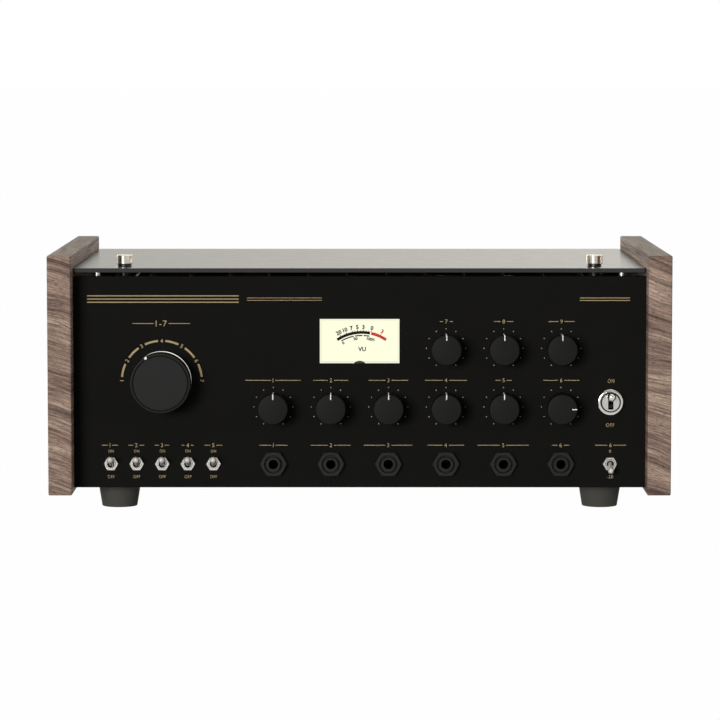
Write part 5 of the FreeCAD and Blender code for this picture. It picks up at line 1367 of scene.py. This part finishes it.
@dataclass
class RubberFeet:
    """Four tapered feet, each with a screw pocket from below.

    Attributes:
        overhang: How far the frame's own feet stay inside these at the top.
    """

    height: float = 16.0
    top_radius: float = 14.6
    base_radius: float = 12.1
    rounding: float = 0.5
    overhang: float = 0.9
    pocket_radius: float = 4.6
    pocket_depth: float = 7.5
    bore: float = 2.2

    def shape(self) -> Shape:
        """Turn one foot."""
        corner = (self.base_radius - self.rounding, self.rounding)
        profile = [
            (self.pocket_radius, 0),
            *arc(corner, self.rounding, -90, 0, 6),
            (self.top_radius, self.height),
            (self.bore, self.height),
            (self.bore, self.pocket_depth),
            (self.pocket_radius, self.pocket_depth),
        ]
        return spun(profile, ring=True)

    def make(self) -> None:
        """Turn the feet and set them at the corners of the frame's own four."""
        low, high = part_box("rubber_feet")
        inset = (self.top_radius - self.overhang) * MM
        feet = Piece("tapered_feet")
        for x in (low.x + inset, high.x - inset):
            for y in (low.y + inset, high.y - inset):
                feet.add(self.shape(), at(x / MM, y / MM))
        feet.finish("chassis", "foot_rubber", stands_for=["rubber_feet"], axes=HERE)


# ---------------------------------------------------------------- meter

@dataclass(frozen=True)
class Print:
    """How the meter's arcs, ticks and numbers are printed.

    Attributes:
        radius: Radius of the circle that they stand on.
        tall: Height of a number or a tick.
        wide: Width of a line, or how much bolder a number's strokes are.
    """

    radius: float
    tall: float
    wide: float


@dataclass
class LevelMeter:
    """The meter's printed scale, its rim and the cover over its pivot."""

    across: float = 0.0
    up: float = 99.6
    pivot: tuple[float, float] = (1.4, -24.2)
    window: tuple[float, float] = (54.0, 30.2)
    rim: float = 1.0
    rim_inset: float = 0.05
    rim_thick: float = 0.06
    shade_line: float = 0.25
    rim_level: float = -1.99
    card_level: float = -6.4
    cover_half: float = 3.7
    cover_tall: float = 1.5
    cover_thick: float = 0.8
    cover_break: float = 0.3
    cover_cut: float = 0.05
    scale: Print = Print(29.7, 0.0, 1.95)
    share: Print = Print(27.6, 0.0, 0.8)
    number: Print = Print(33.4, 2.9, 0.04)
    share_number: Print = Print(25.75, 2.15, 0.045)
    long_tick: Print = Print(31.1, 1.2, 0.45)
    short_tick: Print = Print(30.9, 0.8, 0.3)
    unit_place: tuple[float, float] = (1.6, -5.9)
    unit_tall: float = 3.0
    unit_weight: float = 0.03

    def spot(self, radius: float = 0.0, angle: float = 0.0) -> Matrix:
        """A place on the card, on a circle about the pivot."""
        middle = (self.across + self.pivot[0], self.up + self.pivot[1])
        return round_about(middle, radius, angle, self.card_level)

    def arcs(self, ink: Piece, kind: Print, spans: Iterable[tuple[float, float]]) -> None:
        """Print arcs of the scale between pairs of angles."""
        for start, end in spans:
            ink.add(band(kind.radius, kind.wide, start, end), self.spot())

    def numbers(self, ink: Piece, kind: Print, texts: dict[float, str]) -> None:
        """Print numbers at their angles."""
        for angle, text in texts.items():
            ink.add(lettered(text, kind.tall, kind.wide), self.spot(kind.radius, angle))

    def ticks(self, ink: Piece, kind: Print, angles: Iterable[float]) -> None:
        """Print ticks at some angles."""
        for angle in angles:
            ink.add(stroke(0, 0, kind.wide, kind.tall), self.spot(kind.radius, angle))

    def black_print(self) -> Piece:
        """Gather the black lines, ticks and numbers."""
        ink = Piece("meter_black_print")
        levels = {-27.7: "20", -19.7: "10", -12.0: "7", -5.1: "5", 2.0: "3", 12.1: "0"}
        self.arcs(ink, self.scale, [(-34, 11)])
        self.arcs(ink, self.share, [(-30, -11.2), (-9.5, 1.1), (2.8, 11)])
        self.numbers(ink, self.number, levels)
        self.ticks(ink, self.long_tick, levels)
        self.ticks(ink, self.short_tick, (-8.7, -1.4, 5.7, 8.9))
        self.numbers(ink, self.share_number, {-29.0: "0", -9.3: "50", 14.0: "100%"})
        place = at(
            self.across + self.unit_place[0], self.up + self.unit_place[1], self.card_level
        )
        return ink.add(lettered("VU", self.unit_tall, self.unit_weight), place)

    def red_print(self) -> Piece:
        """Gather the red end of the scale."""
        ink = Piece("meter_red_print")
        levels = {24.7: "3"}
        self.arcs(ink, self.scale, [(12.6, 34)])
        self.numbers(ink, self.number, levels)
        self.ticks(ink, self.long_tick, levels)
        self.ticks(ink, self.short_tick, (17.2, 20.9))
        return ink

    def frame(self, name: str, inset: float, wide: float) -> Piece:
        """Four bars round the card, just behind the glass.

        Args:
            name: The piece's name.
            inset: Their distance from the window's edge.
            wide: Their width.

        Returns:
            The piece.
        """
        x, y = self.window[0] / 2 - inset, self.window[1] / 2 - inset
        bars = (
            ((-x, y - wide), (x, y)),
            ((-x, -y), (x, wide - y)),
            ((-x, wide - y), (wide - x, y - wide)),
            ((x - wide, wide - y), (x, y - wide)),
        )
        frame = Piece(name)
        for low, high in bars:
            bar = block((*low, 0), (*high, self.rim_thick))
            frame.add(bar, at(self.across, self.up, self.rim_level))
        return frame

    def cover(self) -> Shape:
        """The half round cover over the needle's pivot, at the foot of the window."""
        half, low, top = self.cover_half, self.cover_thick * 0.5, self.cover_thick
        edge = half - self.cover_break
        disc = spun([(0, top), (edge, top), (half, low), (half, 0), (0, 0)])
        bmesh.ops.scale(disc, vec=(1, self.cover_tall / half, 1), verts=disc.verts)
        cut = bmesh.ops.bisect_plane(
            disc, geom=disc.verts[:] + disc.edges[:] + disc.faces[:],
            plane_co=(0, self.cover_cut, 0), plane_no=(0, -1, 0), clear_outer=True,
        )
        edges = [item for item in cut["geom_cut"] if isinstance(item, bmesh.types.BMEdge)]
        bmesh.ops.holes_fill(disc, edges=edges)
        return sound(disc)

    def make(self) -> None:
        """Print the card, fit the rim with the shade line inside it and the pivot's cover."""
        foot = self.up - self.window[1] / 2
        cover = Piece("meter_pivot_cover")
        cover.add(self.cover(), at(self.across, foot, self.rim_level + self.rim_thick))
        cover.finish("chassis", "meter_plastic", PIVOT_COVER)
        self.black_print().print(Ink.SCALE)
        self.red_print().print(Ink.PEAK)
        wide = self.rim - self.shade_line
        rim = self.frame("meter_rim", self.rim_inset, wide)
        rim.finish("chassis", "meter_plastic", METER_RIM)
        line = self.frame("meter_rim_line", self.rim_inset + wide, self.shade_line)
        line.finish("chassis", "meter_plastic", METER_SHADE)


# ---------------------------------------------------------------- panel print

# Where the labels of the five small toggles stand across the panel, from the left.
FIRST_COLUMN, COLUMN_PITCH, COLUMNS = -168.8, 17.4, 5
TOGGLE_COLUMNS = [FIRST_COLUMN + COLUMN_PITCH * column for column in range(COLUMNS)]


@dataclass(frozen=True)
class LabelRow:
    """Plain characters in a row on the panel, each with a thin rule on either side.

    Attributes:
        up: Height of the row over the panel's foot.
        labels: For each, generic characters, their middle and the width over both rules, where 0
            leaves the rules out.
        tall: Height of the characters.
        stretch: Their width; 1 as the typeface has them.
    """

    up: float
    labels: Sequence[tuple[str, float, float]]
    tall: float = 2.7
    stretch: float = 1.0


@dataclass
class PanelPrint:
    """Everything screen printed on the panel but the knobs' dots."""

    rule: float = 0.4
    gap: float = 1.3
    shortest_rule: float = 0.5
    spacing: float = 1.15
    dial_radius: float = 27.1
    dial_wide: float = 1.35
    dial_stop: float = 5.4
    dial_step: int = 30
    dial_numbers: int = 7
    dial_tall: float = 2.65
    dial_weight: float = 0.01
    rows: Sequence[LabelRow] = (
        LabelRow(111.65, [("1-7", -134.2, 39.0)], 4.1),
        LabelRow(113.0, [("7", 58.7, 8.8), ("8", 97.5, 12.9), ("9", 136.6, 17.6)]),
        LabelRow(73.05, [
            ("1", -58.7, 37.5), ("2", -19.5, 23.5), ("3", 19.5, 26.6),
            ("4", 58.5, 28.4), ("5", 97.6, 11.0), ("6", 136.6, 24.4),
        ]),
        LabelRow(28.8, [
            ("1", -58.6, 19.4), ("2", -19.5, 27.1), ("3", 19.3, 32.8),
            ("4", 58.4, 24.9), ("5", 97.4, 34.9), ("6", 136.4, 11.7),
        ]),
        LabelRow(28.8, [
            ("1", -169.4, 10.9), ("2", -151.6, 10.9), ("3", -134.2, 9.7),
            ("4", -116.7, 8.1), ("5", -99.3, 12.1), ("6", 170.3, 21.1),
        ]),
        LabelRow(24.8, [("ON", across, 0.0) for across in TOGGLE_COLUMNS], 1.95, 0.82),
        LabelRow(7.3, [("OFF", across, 0.0) for across in TOGGLE_COLUMNS], 2.1, 0.84),
        LabelRow(24.7, [("0", 170.0, 0.0)], 2.2),
        LabelRow(7.3, [("-20", 170.0, 0.0)], 2.2),
        LabelRow(72.6, [("ON", 170.3, 0.0)], 2.6, 0.76),
        LabelRow(42.55, [("OFF", 170.0, 0.0)], 2.6, 0.84),
    )
    stripes: Sequence[tuple[float, float, float, float]] = (
        (-184.3, -81.8, 130.4, 0.7),
        (-184.3, -81.8, 128.25, 0.7),
        (-184.3, -81.8, 126.1, 0.7),
        (-76.4, -25.5, 129.0, 0.35),
        (-76.4, -25.5, 127.4, 0.35),
        (148.9, 182.8, 129.0, 0.5),
        (148.9, 182.8, 127.3, 0.5),
    )

    def written(self, ink: Piece, row: LabelRow) -> None:
        """Print a row of labels with their rules."""
        for text, across, wide in row.labels:
            letters = lettered(text, row.tall, stretch=row.stretch, spacing=self.spacing)
            length = wide / 2 - max(vert.co.x for vert in letters.verts) - self.gap
            ink.add(letters, at(across, row.up))
            if length > self.shortest_rule:
                for side in (-1, 1):
                    middle = across + side * (wide - length) / 2
                    ink.add(stroke(middle, row.up, length, self.rule))

    def dial(self, ink: Piece) -> None:
        """Print the numbers round the mode knob, with arcs between them."""
        middle = on_panel(JOINTS.point("mode_turn"))
        for index in range(self.dial_numbers):
            angle = self.dial_step * (index - (self.dial_numbers - 1) / 2)
            number = lettered(str(index + 1), self.dial_tall, self.dial_weight)
            ink.add(number, round_about(middle, self.dial_radius, angle))
            if index + 1 < self.dial_numbers:
                start, end = angle + self.dial_stop, angle + self.dial_step - self.dial_stop
                ink.add(band(self.dial_radius, self.dial_wide, start, end), at(*middle))

    def make(self) -> None:
        """Gather the gold print and lay it on the panel, with plain stripes along its top."""
        gold = Piece("panel_gold_print")
        for row in self.rows:
            self.written(gold, row)
        self.dial(gold)
        for left, right, up, tall in self.stripes:
            gold.add(stroke((left + right) / 2, up, right - left, tall))
        gold.print(Ink.GOLD)


# ---------------------------------------------------------------- studio

@dataclass(frozen=True)
class Lamp:
    """A broad soft light, far away.

    Attributes:
        name: Its name in the scene.
        turn: Degrees that it stands to the left of straight in front, as seen from the camera.
        rise: Degrees above the floor.
        power: Strength on a face that looks straight at it.
        spread: Degrees that it is wide.
        colour: Its colour.
    """

    name: str
    turn: float
    rise: float
    power: float
    spread: float
    colour: Sizes = (1.0, 0.98, 0.95)

    def hang(self) -> None:
        """Hang the lamp and aim it at the unit."""
        light = bpy.data.lights.new(self.name, "SUN")
        light.energy = self.power
        light.angle = math.radians(self.spread)
        light.color = self.colour
        turn, rise = math.radians(self.turn), math.radians(self.rise)
        level = math.cos(rise)
        toward = Vector((math.sin(turn) * level, math.cos(turn) * level, -math.sin(rise)))
        in_scene(self.name, light).rotation_euler = toward.to_track_quat("-Z", "Y").to_euler()


@dataclass
class Studio:
    """A pale floor, a soft room, three broad lamps and the camera.

    Attributes:
        room: Strength of the room's light on dull surfaces.
        overhead: What the ceiling adds.
        front_room: Strength of the room in front of the unit, as it is mirrored.
        back_room: Its strength behind the unit.
        sides: Share of it on the left and on the right.
        tint: Hex colour of the room's light.
        floor_glow: Share of plain white in the floor, where it is seen or mirrored.
    """

    camera_place: Sizes = (0.00026, -2.4182, 0.3079)
    pitch: float = 5.074
    lens: float = 171.15
    sensor: float = 36.0
    lamps: Sequence[Lamp] = (
        Lamp("key_light", 23.0, 5.0, 3.15, 26.0),
        Lamp("fill_light", 145.0, 10.0, 0.5, 40.0),
        Lamp("side_light", -60.0, 8.0, 0.33, 40.0),
    )
    room: float = 0.07
    overhead: float = 0.7
    front_room: float = 0.5
    back_room: float = 1.12
    sides: tuple[float, float] = (0.75, 1.25)
    tint: str = "#fffcf3"
    floor_size: float = 60.0
    floor_glow: float = 0.95
    floor_white: float = 1.04

    def floor(self) -> None:
        """Lay the floor: white to the eye and in reflections, and it keeps a faint shadow."""
        part = bmesh.new()
        bmesh.ops.create_grid(part, x_segments=1, y_segments=1, size=self.floor_size / 2)
        mesh = bpy.data.meshes.new("studio_floor")
        part.to_mesh(mesh)
        part.free()
        floor = in_scene("studio_floor", mesh)
        material = bpy.data.materials.new("painted_floor")
        tree = empty_tree(material)
        path = add_node(tree, "LightPath").outputs
        eye = {0: path["Is Camera Ray"], 1: path["Is Glossy Ray"]}
        seen = add_node(tree, "Math", eye, operation="MAXIMUM")
        through = {0: seen, 1: path["Is Transmission Ray"]}
        shown = add_node(tree, "Math", through, operation="MAXIMUM")
        paint = add_node(tree, "BsdfDiffuse", {"Color": "#707070"})
        white = add_node(tree, "Emission", {"Color": "#ffffff", "Strength": self.floor_white})
        flat = add_node(tree, "MixShader", {0: self.floor_glow, 1: paint, 2: white})
        mix = add_node(tree, "MixShader", {0: shown, 1: paint, 2: flat})
        add_node(tree, "OutputMaterial", {"Surface": mix})
        mesh.materials.append(material)

    def walls(self) -> None:
        """Colour the room: pale behind the unit and on its right, with a soft ceiling light."""
        world = bpy.data.worlds.new("studio_room")
        bpy.context.scene.world = world
        tree = empty_tree(world)
        way = add_node(tree, "TexCoord").outputs["Generated"]
        path = add_node(tree, "LightPath").outputs
        parts = add_node(tree, "SeparateXYZ", {0: way}).outputs
        along = {1: -0.6, 2: 0.5, 3: self.front_room, 4: self.back_room}
        depth = add_node(tree, "MapRange", {"Value": parts["Y"], **along})
        across = {1: -0.15, 2: 0.15, 3: self.sides[0], 4: self.sides[1]}
        side = add_node(tree, "MapRange", {"Value": parts["X"], **across})
        mirrored = add_node(tree, "Math", {0: depth, 1: side}, operation="MULTIPLY")
        soft = add_node(tree, "Mix", {0: path["Is Diffuse Ray"], 2: mirrored, 3: self.room})
        upward = {1: 0.65, 2: 0.9, 3: 0.0, 4: self.overhead}
        ceiling = add_node(tree, "MapRange", {"Value": parts["Z"], **upward})
        both = add_node(tree, "Math", {0: soft, 1: ceiling}, operation="ADD")
        strength = add_node(tree, "Mix", {0: path["Is Camera Ray"], 2: both, 3: 1.0})
        white = {0: path["Is Camera Ray"], 6: self.tint, 7: "#ffffff"}
        tint = add_node(tree, "Mix", white, data_type="RGBA").outputs[2]
        room = add_node(tree, "Background", {"Color": tint, "Strength": strength})
        add_node(tree, "OutputWorld", {"Surface": room})

    def camera(self) -> None:
        """Set the camera in front, a little above the unit."""
        lens = bpy.data.cameras.new("studio_camera")
        lens.lens = self.lens
        lens.sensor_width = self.sensor
        camera = in_scene("studio_camera", lens)
        camera.location = self.camera_place
        camera.rotation_euler = (math.radians(90 - self.pitch), 0, 0)
        bpy.context.scene.camera = camera

    def make(self) -> None:
        """Build the room, its lamps and the camera."""
        self.floor()
        self.walls()
        for lamp in self.lamps:
            lamp.hang()
        self.camera()
        bpy.context.scene.view_settings.view_transform = "Standard"


# ---------------------------------------------------------------- the unit

@dataclass
class FrameDress:
    """The finishes of the frame's own nodes.

    Attributes:
        cover_posts: The posts inside are painted black as shade, for they stand in the dark gap
            under the cover; only the cover's own four, outside this distance from the middle, are
            bright.
        bushing: The toggles' bushings are painted black inside as shade, this far from their
            levers' pivots.
        turned_in: How far a face has to look inwards to count, in metres.
        turned_front: How much of its normal a face deep in the power switch has to the front.
    """

    cover_posts: float = 170.0
    bushing: float = 5.0
    turned_in: float = 1e-5
    turned_front: float = 0.5

    def inner_post(self, face: bpy.types.MeshPolygon) -> bool:
        """Whether a face belongs to a post inside."""
        return abs(face.center.x) < self.cover_posts * MM

    def in_bushing(self, face: bpy.types.MeshPolygon) -> bool:
        """Whether a face looks inwards in a bushing, or lies deep in the power switch: painted
        shade.
        """
        near = []
        for name in JOINTS.named("_flip"):
            way = face.center - JOINTS.point(name + "_flip")
            near.append((math.hypot(way.x, way.z), name, way))
        out, name, way = min(near)
        inward = way.x * face.normal.x + way.z * face.normal.z < -self.turned_in
        behind = name == "power" and face.center.y > PANEL_LOW.y
        deep = behind and face.normal.y < -self.turned_front
        return out < self.bushing * MM and (inward or deep)

    def make(self) -> None:
        """Give each node the finish of its slot, and paint the shade black in the bushings and on
        the inner posts.
        """
        dark = {"spacer_posts": self.inner_post, "toggle_switches": self.in_bushing}
        for part in frame["record"]["subparts"]:
            name = part["node"]
            mesh = frame["nodes"][name].data
            mesh.materials.clear()
            finish = NODE_FINISHES.get(name) or SLOT_FINISHES[part["material_slot"]]
            mesh.materials.append(finish.material())
            if name in dark:
                # Painted shade: black on the faces that lie in shade.
                mesh.materials.append(BLACK_STEEL_AND_SHADE.material())
                for face in mesh.polygons:
                    face.material_index = int(dark[name](face))


def main() -> None:
    """Build the pieces in order."""
    logging.basicConfig(level=logging.INFO, format="%(message)s")
    FrameDress().make()
    dots = Piece("scale_dots")
    turning = [name for name in JOINTS.named("_turn") if name + "_knob" in frame["nodes"]]
    knobs = [name for name in turning if name != "mode"]
    for name in knobs:
        ControlKnob(name).make(dots)
    dots.print(Ink.DOTS)
    ModeKnob().make()
    toggles = [name for name in JOINTS.named("_flip") if name != "power"]
    mounts = frame["record"]["mounts"]
    jacks = [Vector(mount["pos_m"]) for mount in mounts if mount["name"].startswith("jack")]
    knob_joints = [name + "_turn" for name in knobs]
    ControlNuts(knob_joints, [name + "_flip" for name in toggles], jacks).make()
    for name in toggles:
        BatLever(name).make()
    # The power lever's pivot is painted black, as shade deep in the switch.
    BatLever(
        "power", length=14.5, root=1.4, tip=2.9, neck=0.45, barrel=1.7, barrel_wide=3.0,
        finish=CHROME, pivot_finish=BLACK_STEEL_AND_SHADE,
    ).make()
    DressRing().make()
    for side in Side:
        ThumbScrew(side).make()
    RubberFeet().make()
    LevelMeter().make()
    PanelPrint().make()
    Studio().make()


if __name__ == "__main__":
    main()
